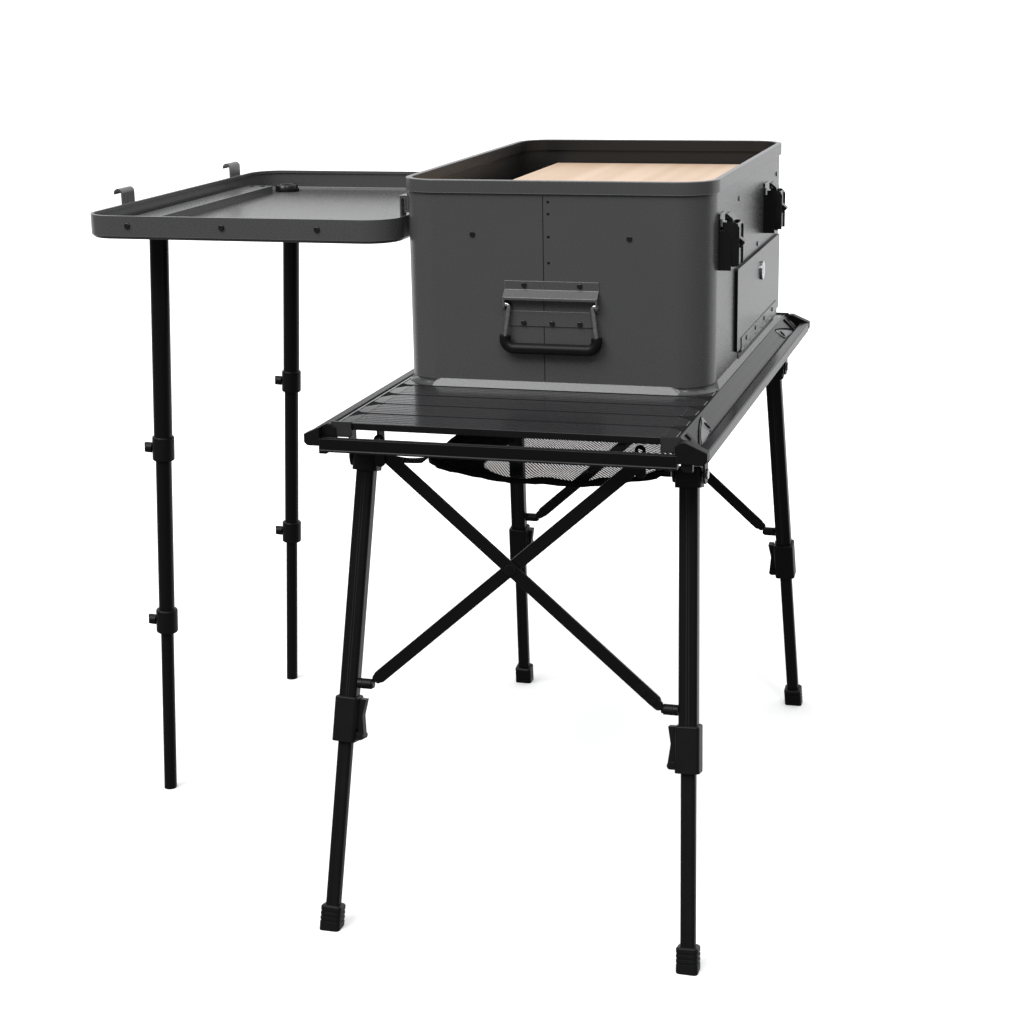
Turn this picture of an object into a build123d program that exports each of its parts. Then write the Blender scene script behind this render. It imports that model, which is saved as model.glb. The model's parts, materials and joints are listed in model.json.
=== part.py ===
from build123d import *
import os

os.makedirs("parts", exist_ok=True)

# Camp kitchen table: slat-top folding table, ventilated storage box on top and the box's lid
# hung beside it as a tray on two telescopic poles. Millimetres, +Z up, floor at z = 0.
# Lengths below are taken from the table's own centre line; keep() then moves every piece by
# frame_x, which centres the whole object on the origin.

# ---- deck ----
deck_top = 646.0
slat_count = 15
slat_pitch = 56.1
slat_gap = 1.6
slat_thick = 8.3
slat_half = 187.0
slat_skin = 1.5
slat_groove_w = 0.9
slat_groove_d = 0.5
slat_groove_step = 9.0
cap_len = 16.0
# ---- side rails ----
rail_clear = 0.4
rail_wall = 2.4
rail_web = 3.0
rail_bevel = 18.5
rail_drop = 10.5
ledge_len = 15.5
ledge_thick = 2.3
rail_cap_thick = 4.0
rail_cap_w = 25.0
rail_cap_rise = 2.0
rail_cap_h = 18.5
outer_bar_gap = 4.0
outer_bar_w = 13.2
outer_bar_top = 634.0
outer_bar_h = 14.0
# ---- ends of the frame ----
cross_bar_t = 11.7
cross_bar_h = 16.0
cross_bar_top = 629.0
cross_bar_left = 223.0
cross_bar_right = 208.0
cross_lip = 1.4
cross_dish = 1.0
cross_toe = 0.8
casting_in = 205.0
casting_out = 242.4
casting_tip_top = 634.0
casting_crown = 645.0
casting_shoulder = 640.5
casting_bottom = 620.0
casting_depth = 15.4
casting_wall = 5.0
casting_lug_w = 13.5
casting_lug_h = 10.0
# ---- leg pivots and legs ----
pivot_x = 202.0
pivot_y = 329.5
pivot_z = 583.0
foot_x = 228.0
foot_y = 454.0
pin_r = 3.5
pin_clear = 0.1
collar_w = 32.0
collar_d = 28.0
collar_up = 8.0
collar_down = 17.0
upper_w = 23.0
upper_d = 20.0
upper_wall = 1.3
upper_start = 5.0
upper_end = 310.0
corner_r = 4.5
leg_groove_w = 3.0
leg_groove_d = 0.5
bracket_t = 2.5
bracket_side = 0.6
bracket_low = 12.0
# ---- clamps and lower legs ----
clamp_top = 300.0
clamp_len = 57.0
clamp_w = 30.0
clamp_d = 28.0
clamp_seat = 10.0
lower_w = 18.0
lower_d = 15.0
lower_wall = 1.4
lower_clear = 0.3
lower_lap = 62.0
foot_w = 27.0
foot_d = 24.0
foot_h = 30.0
foot_ribs = 3
lever_w = 12.0
lever_len = 47.0
lever_t = 6.0
lever_eye_r = 4.5
lever_pin_r = 2.4
lever_gap = 1.0
ear_t = 3.0
# ---- cross braces ----
brace_low_y = 392.0
brace_low_z = 307.0
brace_high_y = 403.0
brace_high_z = 607.0
brace_mid_z = 471.5
brace_slope = 0.885
brace_high_x = 160.0
brace_low_x = 180.0
brace_w = 16.0
brace_t = 3.0
brace_split = 0.5
brace_rivet_r = 4.0
link_t = 2.5
link_w = 13.0
link_lap = 34.0
link_eye_r = 6.5
link_hook_top = 631.0
# ---- net ----
net_left = 140.0
net_right = 168.0
net_half_y = 300.0
net_side_z = 574.0
net_sag = 22.0
net_t = 3.0
# ---- storage box ----
box_w = 400.0
box_len = 600.0
box_y0 = -187.5
box_wall = 2.0
box_wall_top = 905.0
box_r = 45.0
box_bevel = 8.0
rim_top = 909.0
rim_bottom = 892.5
rim_proud = 3.0
rim_edge = 1.2
rim_lip = 3.0
rim_lip_bottom = 893.0
# ---- handles on the box's ends ----
handle_x = -2.0
handle_w = 122.0
handle_top = 784.0
handle_bottom = 727.0
handle_t = 1.6
hood_top = 773.0
hood_out = 11.0
hood_low = 761.0
pocket_low = 746.0
bail_r = 3.0
bail_z = 754.5
bail_off = 6.0
bail_top_half = 54.0
bail_low_half = 61.0
bail_low_z = 699.0
bail_corner_r = 12.0
grip_r = 7.0
grip_up = 13.0
bail_lean = 1.8
# ---- door, hinge and lock ----
door_from_near = 175.5
door_from_far = 54.5
door_z0 = 668.0
door_z1 = 778.0
door_t = 4.0
door_gap = 0.3
door_lap = 13.0
hinge_from_near = 30.0
hinge_from_far = 28.0
hinge_z = 664.5
hinge_r = 2.6
hinge_pin_r = 1.2
hinge_count = 13
hinge_play = 0.3
hinge_leaf_t = 1.2
hinge_leaf_h = 18.0
lock_from_near = 198.0
lock_z = 748.0
lock_r = 13.0
lock_shaft_r = 8.0
lock_cam_len = 28.0
# ---- draw latches ----
latch_from_near = 67.0
latch_from_far = 170.0
latch_z0 = 795.0
latch_h = 70.0
latch_w = 35.0
latch_sheet = 1.6
latch_cheek_x = 16.0
latch_cheek_z = 50.0
latch_pin_x = 9.0
latch_pin_z = 9.0
latch_pin_r = 2.0
latch_front = 24.0
claw_pin_x = 15.0
claw_pin_z = 40.0
# ---- serving board and its ledges ----
board_drop = 35.0
board_t = 14.0
board_left = 148.0
board_clear = 0.8
board_r = 38.0
ledge_box_d = 16.0
ledge_box_t = 2.0
ledge_box_h = 14.0
ledge_box_half = 140.0
# ---- side tray ----
tray_w = 442.0
tray_len = 612.0
tray_gap = 8.0
tray_back = 5.5
tray_top = 857.0
tray_bottom = 826.0
tray_wall = 2.0
tray_r = 45.0
tray_bevel = 4.0
tray_bead = 4.0
catch_y = (-45.0, 322.0)
catch_w = 38.0
catch_t = 2.0
catch_rise = 21.0
catch_curl = 6.5
channel_in = 13.0
channel_w = 39.0
channel_top = 840.0
channel_short = 74.0
channel_t = 2.0
channel_inset = 24.0
hook_from_end = 51.0
hook_w = 22.0
keeper_t = 3.3
keeper_play = 0.3
keeper_tongue = 1.6
keeper_lip_t = 1.6
keeper_low = 862.0
keeper_top = 888.0
keeper_lip_top = 879.5
hook_t = 2.0
# ---- poles ----
pole_y = (-100.0, 376.0)
pole_in = 70.0
pole_rake = 40.0
pole_top_z = 824.5
pole_d = (26.0, 22.5, 18.5)
pole_wall = (1.2, 1.3, 1.4)
pole_collar_z = (537.0, 280.0)
pole_collar_h = 35.0
pole_collar_d = 31.0
pole_lap = 55.0
pole_play = 0.15
knob_len = 13.0
knob_r = 7.0
knob_stem_r = 2.5
socket_flange_r = 18.0
socket_r = 13.5
socket_bore_r = 9.0
socket_rise = 5.0

# ---- derived sizes ----
deck_half_y = slat_count * slat_pitch / 2
deck_low = deck_top - slat_thick
cap_x = slat_half + cap_len
rail_x = cap_x + rail_clear
rail_out = rail_x + rail_web + rail_bevel
rail_bevel_z = deck_top - rail_bevel
rail_low = rail_bevel_z - rail_drop
outer_bar_x = rail_out + outer_bar_gap
cap_end_y = deck_half_y + rail_cap_thick
cross_y = cap_end_y + 0.3
box_y1 = box_y0 + box_len
box_mid_y = (box_y0 + box_y1) / 2
box_face = box_w / 2
door_y0 = box_y0 + door_from_near
door_y1 = box_y1 - door_from_far
hinge_y0 = door_y0 + hinge_from_near
hinge_y1 = door_y1 - hinge_from_far
lock_y = door_y0 + lock_from_near
latch_y = (box_y0 + latch_from_near, box_y1 - latch_from_far)
board_top = rim_top - board_drop
hinge_x = box_face + 0.4 + hinge_r
tray_x1 = -box_face - tray_gap
tray_x0 = tray_x1 - tray_w
tray_y0 = box_y0 - tray_back
tray_y1 = tray_y0 + tray_len
channel_x0 = tray_x0 + channel_in
channel_x1 = channel_x0 + channel_w
channel_y1 = tray_y1 - channel_short
pole_top_x = tray_x0 + pole_in
pole_foot_x = pole_top_x - pole_rake
hook_y = (box_y0 + hook_from_end + 0.5, box_y1 - hook_from_end + 0.5)
tray_mid = ((tray_x0 + tray_x1) / 2, (tray_y0 + tray_y1) / 2)
frame_x = -(tray_x0 - 2 * catch_curl + casting_out) / 2


def span(x0, x1, y0, y1, z0, z1):
    """Rectangular block between two corners."""
    return Pos((x0 + x1) / 2, (y0 + y1) / 2, (z0 + z1) / 2) * Box(abs(x1 - x0), abs(y1 - y0), abs(z1 - z0))


def slab(width, length, radius, z0, z1, x=0.0, y=0.0):
    """Upright prism with a rounded rectangular plan."""
    return Pos(x, y, z0) * extrude(RectangleRounded(width, length, radius), z1 - z0)


def along_y(points, y0, y1):
    """Section drawn as (x, z) points and drawn out from y0 to y1."""
    face = make_face(Polyline(*[(px, y0, pz) for px, pz in points], close=True))
    return extrude(face, amount=y1 - y0, dir=(0, 1, 0))


def along_x(points, x0, x1):
    """Section drawn as (y, z) points and drawn out from x0 to x1."""
    face = make_face(Polyline(*[(x0, py, pz) for py, pz in points], close=True))
    return extrude(face, amount=x1 - x0, dir=(1, 0, 0))


def rod_x(radius, x0, x1, y, z):
    return Pos((x0 + x1) / 2, y, z) * Rot(0, 90, 0) * Cylinder(radius, abs(x1 - x0))


def rod_y(radius, y0, y1, x, z):
    return Pos(x, (y0 + y1) / 2, z) * Rot(90, 0, 0) * Cylinder(radius, abs(y1 - y0))


def flip_x(shape):
    return shape.mirror(Plane.YZ)


def flip_y(shape):
    return shape.mirror(Plane.XZ)


def both_x(shape):
    return [shape, flip_x(shape)]


def both_y(shape):
    return [shape, flip_y(shape)]


def all_four(shape):
    return both_x(shape) + both_x(flip_y(shape))


def keep(name, *pieces):
    """Write one node: every solid of the given pieces, moved to the common origin."""
    solids = []
    for piece in pieces:
        group = piece if isinstance(piece, (list, tuple)) else [piece]
        for member in group:
            solids += [Pos(frame_x, 0, 0) * solid for solid in member.solids()]
    shape = solids[0] if len(solids) == 1 else Compound(solids)
    export_step(shape, "parts/" + name + ".step")


# ======== deck: slats with grooved tops, open undersides and plastic end caps ========
slat_w = slat_pitch - slat_gap
half_w = slat_w / 2
slat_section = Pos(0, -slat_thick / 2) * Rectangle(slat_w, slat_thick)
pocket_w = (slat_w - 3 * slat_skin) / 2
pocket_h = slat_thick - slat_skin
for side in (-1, 1):
    slat_section -= Pos(side * (pocket_w + slat_skin) / 2, -slat_skin - pocket_h / 2) * Rectangle(pocket_w, pocket_h)
for step in (-2, -1, 0, 1, 2):
    slat_section -= Pos(step * slat_groove_step, -slat_groove_d / 2) * Rectangle(slat_groove_w, slat_groove_d)
slat = Pos(-slat_half, 0, deck_top) * extrude(Plane.YZ * slat_section, 2 * slat_half)

end_cap = span(slat_half, cap_x, -half_w, half_w, deck_low, deck_top)
end_cap = chamfer(end_cap.edges().group_by(Axis.X)[-1], 0.8)
slats = []
end_caps = []
for index in range(slat_count):
    y = (index - (slat_count - 1) / 2) * slat_pitch
    slats.append(Pos(0, y, 0) * slat)
    end_caps += [Pos(0, y, 0) * cap for cap in both_x(end_cap)]
keep("deck_slats", slats)

# ======== side rails: ledge under the slats, bevelled outer face, lip below ========
web_x = rail_x + rail_web
thin = rail_wall * 0.4142
rail_points = [
    (rail_x, deck_top),
    (web_x, deck_top),
    (rail_out, rail_bevel_z),
    (rail_out, rail_low),
    (rail_out - rail_wall, rail_low),
    (rail_out - rail_wall, rail_bevel_z - thin),
    (web_x, deck_top - rail_wall * 1.4142),
    (web_x, deck_low - ledge_thick),
    (rail_x - ledge_len, deck_low - ledge_thick),
    (rail_x - ledge_len, deck_low),
    (rail_x, deck_low),
]
keep("side_rails", both_x(along_y(rail_points, -deck_half_y, deck_half_y)))

cap_outer_x = rail_x + 8.0
cap_low = deck_top + rail_cap_rise - rail_cap_h
rail_cap = span(cap_outer_x - rail_cap_w, cap_outer_x, deck_half_y, cap_end_y, cap_low, deck_top + rail_cap_rise)
rail_cap = fillet(rail_cap.edges().filter_by(Axis.Y), 1.5)
keep("deck_end_caps", end_caps, all_four(rail_cap))

outer_bar = span(
    outer_bar_x, outer_bar_x + outer_bar_w, -deck_half_y, deck_half_y, outer_bar_top - outer_bar_h, outer_bar_top
)
outer_bar = fillet(outer_bar.edges().filter_by(Axis.Y), 2.0)
keep("outer_bars", both_x(outer_bar))

# ======== cross bars: grooved bars that close the two ends of the frame ========
cross_low = cross_bar_top - cross_bar_h
cross_out = cross_y + cross_bar_t
cross_points = [
    (-cross_y, cross_low),
    (-cross_out, cross_low),
    (-cross_out, cross_low + 2.0),
    (-cross_out + cross_toe, cross_low + 2.6),
    (-cross_out + cross_toe, cross_bar_top),
    (-cross_out + cross_toe + cross_lip, cross_bar_top),
    (-cross_out + cross_toe + cross_lip, cross_bar_top - cross_dish),
    (-cross_y - cross_lip, cross_bar_top - cross_dish),
    (-cross_y - cross_lip, cross_bar_top),
    (-cross_y, cross_bar_top),
]
keep("cross_bars", both_y(along_x(cross_points, -cross_bar_left, cross_bar_right)))

# ======== corner castings: seat the rail, the outer bar and the cross bar ========
casting_end_y = deck_half_y + casting_depth
casting_points = [
    (casting_in, casting_bottom),
    (casting_out - 4, casting_bottom),
    (casting_out, casting_bottom + 4),
    (casting_out, casting_tip_top),
    (cap_outer_x + 6, casting_crown),
    (cap_outer_x + 0.2, casting_crown),
    (casting_in, casting_shoulder),
]
casting = along_y(casting_points, deck_half_y, casting_end_y)
cap_room = span(
    cap_outer_x - rail_cap_w, cap_outer_x, deck_half_y, cap_end_y, cap_low, deck_top + rail_cap_rise
)
casting -= cap_room
lug_x = cap_outer_x + 0.1
lug_mid_y = deck_half_y + casting_depth / 2
lug_points = [
    (lug_x, casting_bottom + 1),
    (lug_x, casting_bottom - casting_lug_h + 4),
    (lug_x + 4, casting_bottom - casting_lug_h),
    (lug_x + casting_lug_w, casting_bottom - casting_lug_h),
    (lug_x + casting_lug_w, casting_bottom + 1),
]
casting += along_y(lug_points, lug_mid_y - 5, lug_mid_y + 5)
bar_room = span(-cross_bar_left, cross_bar_right, cross_y, cross_out, cross_low, cross_bar_top)
over_bar = span(
    -cross_bar_left, -casting_in, deck_half_y + casting_wall, casting_end_y, cross_bar_top - 0.1, casting_crown + 1
)
castings = []
for side in (casting, flip_x(casting)):
    seated = side - bar_room - over_bar
    castings += both_y(seated)
keep("corner_castings", castings)

# ======== straps with a turning disc on the rails' bevelled faces ========
bevel_mid = Vector((web_x + rail_out) / 2, 0, (deck_top + rail_bevel_z) / 2)
bevel_plane = Plane(origin=bevel_mid, x_dir=(1, 0, -1), z_dir=(1, 0, 1))
strap = bevel_plane.location * Pos(1.5, 0, 1.0) * Box(23, 8, 2)
strap += bevel_plane.location * Pos(5, 10, 1.5) * Cylinder(7, 3)
strap += bevel_plane.location * Pos(5, 4, 1.0) * Box(8, 8, 2)
strap = Pos(0, deck_half_y - 32.75, 0) * strap
keep("rail_straps", all_four(strap))

# ======== leg brackets and pivot pins under the rails ========
collar_in = pivot_x - collar_w / 2
collar_out = pivot_x + collar_w / 2
plate_in = collar_in - bracket_side - bracket_t
ledge_low = deck_low - ledge_thick
lip_in = rail_out - rail_wall
plate_half = 11.0
bracket_low_z = pivot_z - bracket_low
inner_plate = span(
    plate_in, plate_in + bracket_t, pivot_y - plate_half, pivot_y + plate_half, bracket_low_z, ledge_low
)
top_plate = span(plate_in, web_x, pivot_y - plate_half, pivot_y + plate_half, ledge_low - bracket_t, ledge_low)
outer_plate = span(
    lip_in - bracket_t, lip_in, pivot_y - plate_half, pivot_y + plate_half, bracket_low_z, rail_bevel_z - 3
)
bracket = inner_plate + top_plate
pin_hole = rod_x(pin_r + pin_clear / 2, plate_in - 5, rail_out + 5, pivot_y, pivot_z)
bracket = fillet(bracket.edges().filter_by(Axis.X).group_by(Axis.Z)[0], plate_half - 1) - pin_hole
outer_plate = fillet(outer_plate.edges().filter_by(Axis.X).group_by(Axis.Z)[0], plate_half - 1) - pin_hole

pin = rod_x(pin_r, plate_in - 1, lip_in + 1, pivot_y, pivot_z)
pin += rod_x(pin_r + 2.5, plate_in - 2.5, plate_in - 0.1, pivot_y, pivot_z)
pin += rod_x(pin_r + 2.5, lip_in + 0.1, lip_in + 2.3, pivot_y, pivot_z)
keep("leg_brackets", all_four(bracket), all_four(outer_plate), all_four(pin))

# ======== legs, built at the +X +Y corner along their own axis and mirrored ========
pivot = Vector(pivot_x, pivot_y, pivot_z)
foot = Vector(foot_x, foot_y, 0)
leg_len = (pivot - foot).length
leg_up = (pivot - foot).normalized()
leg_plane = Plane(origin=pivot, x_dir=Vector(0, 1, 0).cross(leg_up), z_dir=leg_up)
leg = leg_plane.location


def tube_section(width, depth, wall, groove_w, groove_d):
    outer = RectangleRounded(width, depth, corner_r)
    inner = RectangleRounded(width - 2 * wall, depth - 2 * wall, corner_r - wall)
    section = outer - inner
    for side in (-1, 1):
        section -= Pos(0, side * depth / 2) * Rectangle(groove_w, 2 * groove_d)
    return section


upper_section = tube_section(upper_w, upper_d, upper_wall, leg_groove_w, leg_groove_d)
upper_tube = leg * Pos(0, 0, -upper_end) * extrude(upper_section, upper_end - upper_start)
upper_fill = leg * slab(upper_w, upper_d, corner_r, -upper_end, -upper_start)

collar = slab(collar_w, collar_d, 6.0, -collar_down, collar_up)
collar = chamfer(collar.edges().group_by(Axis.Z)[-1], 2.0)
collar = leg * collar - upper_fill
collar -= rod_x(pin_r + pin_clear, pivot_x - 40, pivot_x + 40, pivot_y, pivot_z)

# Clamp housing: seats the upper tube, guides the lower one, carries the lever between two ears.
clamp_low = clamp_top + clamp_len
lever_x = -(clamp_w / 2 + lever_gap + lever_eye_r)
lever_w_z = -(clamp_low - 8.0)
housing = slab(clamp_w, clamp_d, 5.0, -clamp_low, -clamp_top)
housing = chamfer(housing.edges().group_by(Axis.Z)[-1], 1.5)
ear_in = lever_w / 2 + 0.3
for side in (-1, 1):
    ear = span(
        lever_x, -clamp_w / 2 + 1, side * ear_in, side * (ear_in + ear_t), lever_w_z - lever_eye_r,
        lever_w_z + lever_eye_r,
    )
    ear += rod_y(lever_eye_r, side * ear_in, side * (ear_in + ear_t), lever_x, lever_w_z)
    housing += ear
housing -= slab(lower_w + 2 * lower_clear, lower_d + 2 * lower_clear, corner_r - 1, -clamp_low, -clamp_top)
housing -= rod_y(lever_pin_r + pin_clear, -20, 20, lever_x, lever_w_z)
housing -= slab(upper_w, upper_d, corner_r, -clamp_top - clamp_seat, -clamp_top)
housing = leg * housing

# Lever: lies up along the housing's inner side and turns on its own trunnions.
lever_top = lever_w_z + lever_len
lever_back = lever_x + lever_eye_r
lever_points = [
    (lever_x + 1, lever_w_z),
    (lever_back, lever_w_z),
    (lever_back, lever_top),
    (lever_back - lever_t - 2, lever_top),
    (lever_back - lever_t + 1, lever_top - lever_len * 0.45),
    (lever_back - 2 * lever_eye_r, lever_w_z),
]
lever = along_y(lever_points, -lever_w / 2, lever_w / 2)
lever += rod_y(lever_eye_r, -lever_w / 2, lever_w / 2, lever_x, lever_w_z)
lever += rod_y(lever_pin_r, -ear_in - ear_t, ear_in + ear_t, lever_x, lever_w_z)
lever = leg * lever

# Lower tube and its ribbed foot, cut level with the floor.
lower_top = upper_end - lower_lap
lower_section = tube_section(lower_w, lower_d, lower_wall, leg_groove_w, leg_groove_d)
lower_fill = slab(lower_w, lower_d, corner_r, -leg_len - 4, -lower_top)
lower_tube = leg * Pos(0, 0, -leg_len + 8) * extrude(lower_section, leg_len - 8 - lower_top)
foot_cap = slab(foot_w, foot_d, 5.0, -leg_len - 8, -leg_len + foot_h)
foot_cap = chamfer(foot_cap.edges().group_by(Axis.Z)[-1], 2.0)
for rib in range(foot_ribs):
    z = -leg_len + 9 + rib * 6.0
    foot_cap -= slab(foot_w + 2, foot_d + 2, 6.0, z, z + 2) - slab(foot_w - 2, foot_d - 2, 4.0, z, z + 2)
foot_cap -= slab(lower_w, lower_d, corner_r, -leg_len + 8, -leg_len + foot_h)
foot_cap = leg * foot_cap - span(0, 400, 300, 600, -60, 0)

# Shouldered pin on the leg's inner side: the brace turns on it.
eye_out = 196.4
eye_in = 184.6
lug_share = (pivot_z - brace_low_z) / pivot_z
lug_seat = pivot_x + (foot_x - pivot_x) * lug_share - upper_w / 2 - 0.45
lug = rod_x(link_eye_r, eye_out + 0.3, lug_seat, brace_low_y, brace_low_z)
lug += rod_x(3.0, eye_in - 2.6, eye_out + 1, brace_low_y, brace_low_z)
lug += rod_x(5.0, eye_in - 2.6, eye_in - 0.3, brace_low_y, brace_low_z)

far_upper = both_x(upper_tube) + both_x(lug)
far_plastic = both_x(collar) + both_x(housing)
keep("upper_legs_far", far_upper)
keep("upper_legs_near", [flip_y(piece) for piece in far_upper])
keep("leg_fittings_far", far_plastic)
keep("leg_fittings_near", [flip_y(piece) for piece in far_plastic])
for name, turn in (
    ("far_right", lambda piece: piece),
    ("far_left", flip_x),
    ("near_right", flip_y),
    ("near_left", lambda piece: flip_x(flip_y(piece))),
):
    keep("lower_leg_" + name, turn(lower_tube), turn(foot_cap))
    keep("clamp_lever_" + name, turn(lever))

# ======== cross braces: two riveted flat bars with end links ========
brace_dir = Vector(0, brace_high_y - brace_low_y, brace_high_z - brace_low_z).normalized()
brace_mid_y = brace_low_y + (brace_high_y - brace_low_y) * (brace_mid_z - brace_low_z) / (brace_high_z - brace_low_z)
brace_plane = Plane(
    origin=(0, brace_mid_y, brace_mid_z), x_dir=(-1, 0, 0), z_dir=Vector(-1, 0, 0).cross(brace_dir)
)
brace = brace_plane.location
# Local x runs to -X here, local y up the brace and local z outwards, away from the table.
bar_len = (brace_high_x + brace_low_x) * (1 + brace_slope**2) ** 0.5
bar_angle = 41.5
bar_mid_x = (brace_high_x - brace_low_x) / 2
half_split = brace_split / 2


def brace_bar(side):
    """One bar with its two links; side is +1 for the outer bar, -1 for the inner one."""
    z0 = half_split if side > 0 else -half_split - brace_t
    tilt = Pos(side * bar_mid_x, bar_mid_x * brace_slope, 0) * Rot(0, 0, side * bar_angle)
    bar = Pos(0, 0, z0) * (tilt * extrude(SlotOverall(bar_len, brace_w), brace_t))
    bar -= Cylinder(brace_rivet_r + 0.05, 40)
    link_z = z0 + brace_t if side > 0 else z0 - link_t
    low = bar_len / 2 - link_lap / 2 + 1
    link = Pos(0, 0, link_z) * (tilt * Pos(-side * low, 0, 0) * extrude(SlotOverall(link_lap + 8, link_w), link_t))
    eye_y = (brace_low_z - brace_mid_z) / brace_dir.Z
    for offset in (-8, 8):
        head_z = link_z + (link_t if side > 0 else 0) + side * 0.6
        link += Pos(0, 0, head_z) * (tilt * Pos(-side * (low + offset), 0, 0) * Cylinder(3.2, 1.6))
    eye_mid = -side * (eye_in + eye_out) / 2
    link += Pos(eye_mid, eye_y, 0) * Rot(0, 90, 0) * Cylinder(link_eye_r, eye_out - eye_in)
    link -= Pos(eye_mid, eye_y, 0) * Rot(0, 90, 0) * Cylinder(3.0 + pin_clear, 40)
    link -= Pos(-side * (eye_in - 2), eye_y, 0) * Rot(0, 90, 0) * Cylinder(5.5, 4)
    hook_x = side * brace_high_x * 0.985
    hook_y1 = (link_hook_top - brace_mid_z) / brace_dir.Z
    hook_y0 = brace_high_x * brace_slope - 22
    hook = Pos(hook_x, (hook_y0 + hook_y1) / 2, link_z) * extrude(
        Rot(0, 0, 90) * SlotOverall(hook_y1 - hook_y0, link_w), link_t
    )
    hook -= Pos(hook_x, hook_y1 - link_w / 2, 0) * Cylinder(2.6, 40)
    return brace * bar, brace * link, brace * hook


outer_set = brace_bar(1)
inner_set = brace_bar(-1)
rivet_half = half_split + brace_t
rivet = Cylinder(brace_rivet_r, 2 * rivet_half)
for side in (-1, 1):
    rivet += Pos(0, 0, side * (rivet_half + 1.0)) * Cylinder(brace_rivet_r + 2.5, 1.8)
rivet = brace * rivet
far_bars = [outer_set[0], inner_set[0], rivet]
far_links = [outer_set[1], inner_set[1], outer_set[2], inner_set[2]]
keep("brace_bars_far", far_bars)
keep("brace_bars_near", [flip_y(piece) for piece in far_bars])
keep("brace_links_far", far_links)
keep("brace_links_near", [flip_y(piece) for piece in far_links])

# ======== net under the deck: a sagging sheet, with ties from its corners to the brackets ========
net_mid = (net_right - net_left) / 2
net_top_arc = ThreePointArc(
    (-net_left, -net_half_y, net_side_z), (net_mid, -net_half_y, net_side_z - net_sag),
    (net_right, -net_half_y, net_side_z),
)
net_low_arc = ThreePointArc(
    (-net_left, -net_half_y, net_side_z - net_t), (net_mid, -net_half_y, net_side_z - net_sag - net_t),
    (net_right, -net_half_y, net_side_z - net_t),
)
net_ends = [
    Line(net_top_arc @ 0, net_low_arc @ 0),
    Line(net_top_arc @ 1, net_low_arc @ 1),
]
net_face = make_face([net_top_arc, net_ends[1], net_low_arc, net_ends[0]])
keep("net_basket", extrude(net_face, amount=2 * net_half_y, dir=(0, 1, 0)))

tie_z = net_side_z + 0.6
ties = []
for tie_x, side in ((net_left, -1), (net_right, 1)):
    strap = span(
        side * (tie_x - 6), side * (plate_in - 0.1), net_half_y - 8, net_half_y + 22, tie_z, tie_z + 2.0
    )
    ties += both_y(strap)
keep("net_ties", ties)

# ======== storage box ========
shell = slab(box_w, box_len, box_r, deck_top, box_wall_top, y=box_mid_y)
shell = chamfer(shell.edges().group_by(Axis.Z)[0], box_bevel)
hollow = slab(
    box_w - 2 * box_wall, box_len - 2 * box_wall, box_r - box_wall, deck_top + box_wall, box_wall_top, y=box_mid_y
)
hollow = chamfer(hollow.edges().group_by(Axis.Z)[0], box_bevel - 1)
shell -= hollow
shell -= span(
    box_face - 10, box_face + 10, door_y0 + door_lap, door_y1 - door_lap, door_z0 + door_lap, door_z1 - door_lap
)
keep("box_shell", shell)


def ring(grow, shrink, z0, z1):
    """Rounded frame about the box wall: grow outwards and shrink inwards from its outer face."""
    outer = slab(box_w + 2 * grow, box_len + 2 * grow, box_r + grow, z0, z1, y=box_mid_y)
    return outer - slab(box_w - 2 * shrink, box_len - 2 * shrink, box_r - shrink, z0, z1, y=box_mid_y)


rim_in = box_wall + rim_lip
rim = ring(rim_proud, rim_in, rim_bottom, rim_top)
rim -= ring(0, box_wall, rim_bottom, box_wall_top)
rim -= ring(-box_wall, rim_in + 1, rim_bottom, rim_lip_bottom)
rim = fillet(rim.edges().group_by(Axis.Z)[-1], rim_edge)
keep("box_rim", rim)

# Handles: hooded plates on the two end faces with a swinging wire bail and a tube grip.
face_y = box_y0
plate_x0 = handle_x - handle_w / 2
plate_x1 = handle_x + handle_w / 2
handle_points = [
    (face_y, handle_top),
    (face_y - handle_t, handle_top),
    (face_y - handle_t, hood_top),
    (face_y - hood_out, hood_top - 9),
    (face_y - hood_out, hood_low),
    (face_y - hood_out + handle_t, hood_low),
    (face_y - hood_out + handle_t, hood_top - 9.7),
    (face_y, hood_top - 0.6),
]
handle_plate = along_x(handle_points, plate_x0, plate_x1)
lower_flange = span(plate_x0 + 5, plate_x1 - 5, face_y - handle_t, face_y, handle_bottom, pocket_low)
cheeks = []
for cheek_x in (plate_x0, plate_x1 - 2):
    cheek = span(cheek_x, cheek_x + 2, face_y - hood_out, face_y, pocket_low + 1, hood_top - 8)
    cheek = fillet(cheek.edges().filter_by(Axis.X).group_by(Axis.Z)[0].sort_by(Axis.Y)[0:1], 6)
    side_strip = span(cheek_x, cheek_x + 5 if cheek_x < 0 else cheek_x - 3, face_y - handle_t, face_y,
                      handle_bottom + 4, hood_top)
    cheeks += [cheek, side_strip]
for cheek in cheeks:
    handle_plate += cheek
handle_plate += lower_flange
handle_plate -= rod_x(bail_r + pin_clear, plate_x0 - 1, plate_x1 + 1, face_y - bail_off, bail_z)


def far_end(shape):
    """The same piece on the box's far end face."""
    return Pos(0, 2 * box_mid_y, 0) * flip_y(shape)


keep("handle_plates", handle_plate, far_end(handle_plate))

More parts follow.
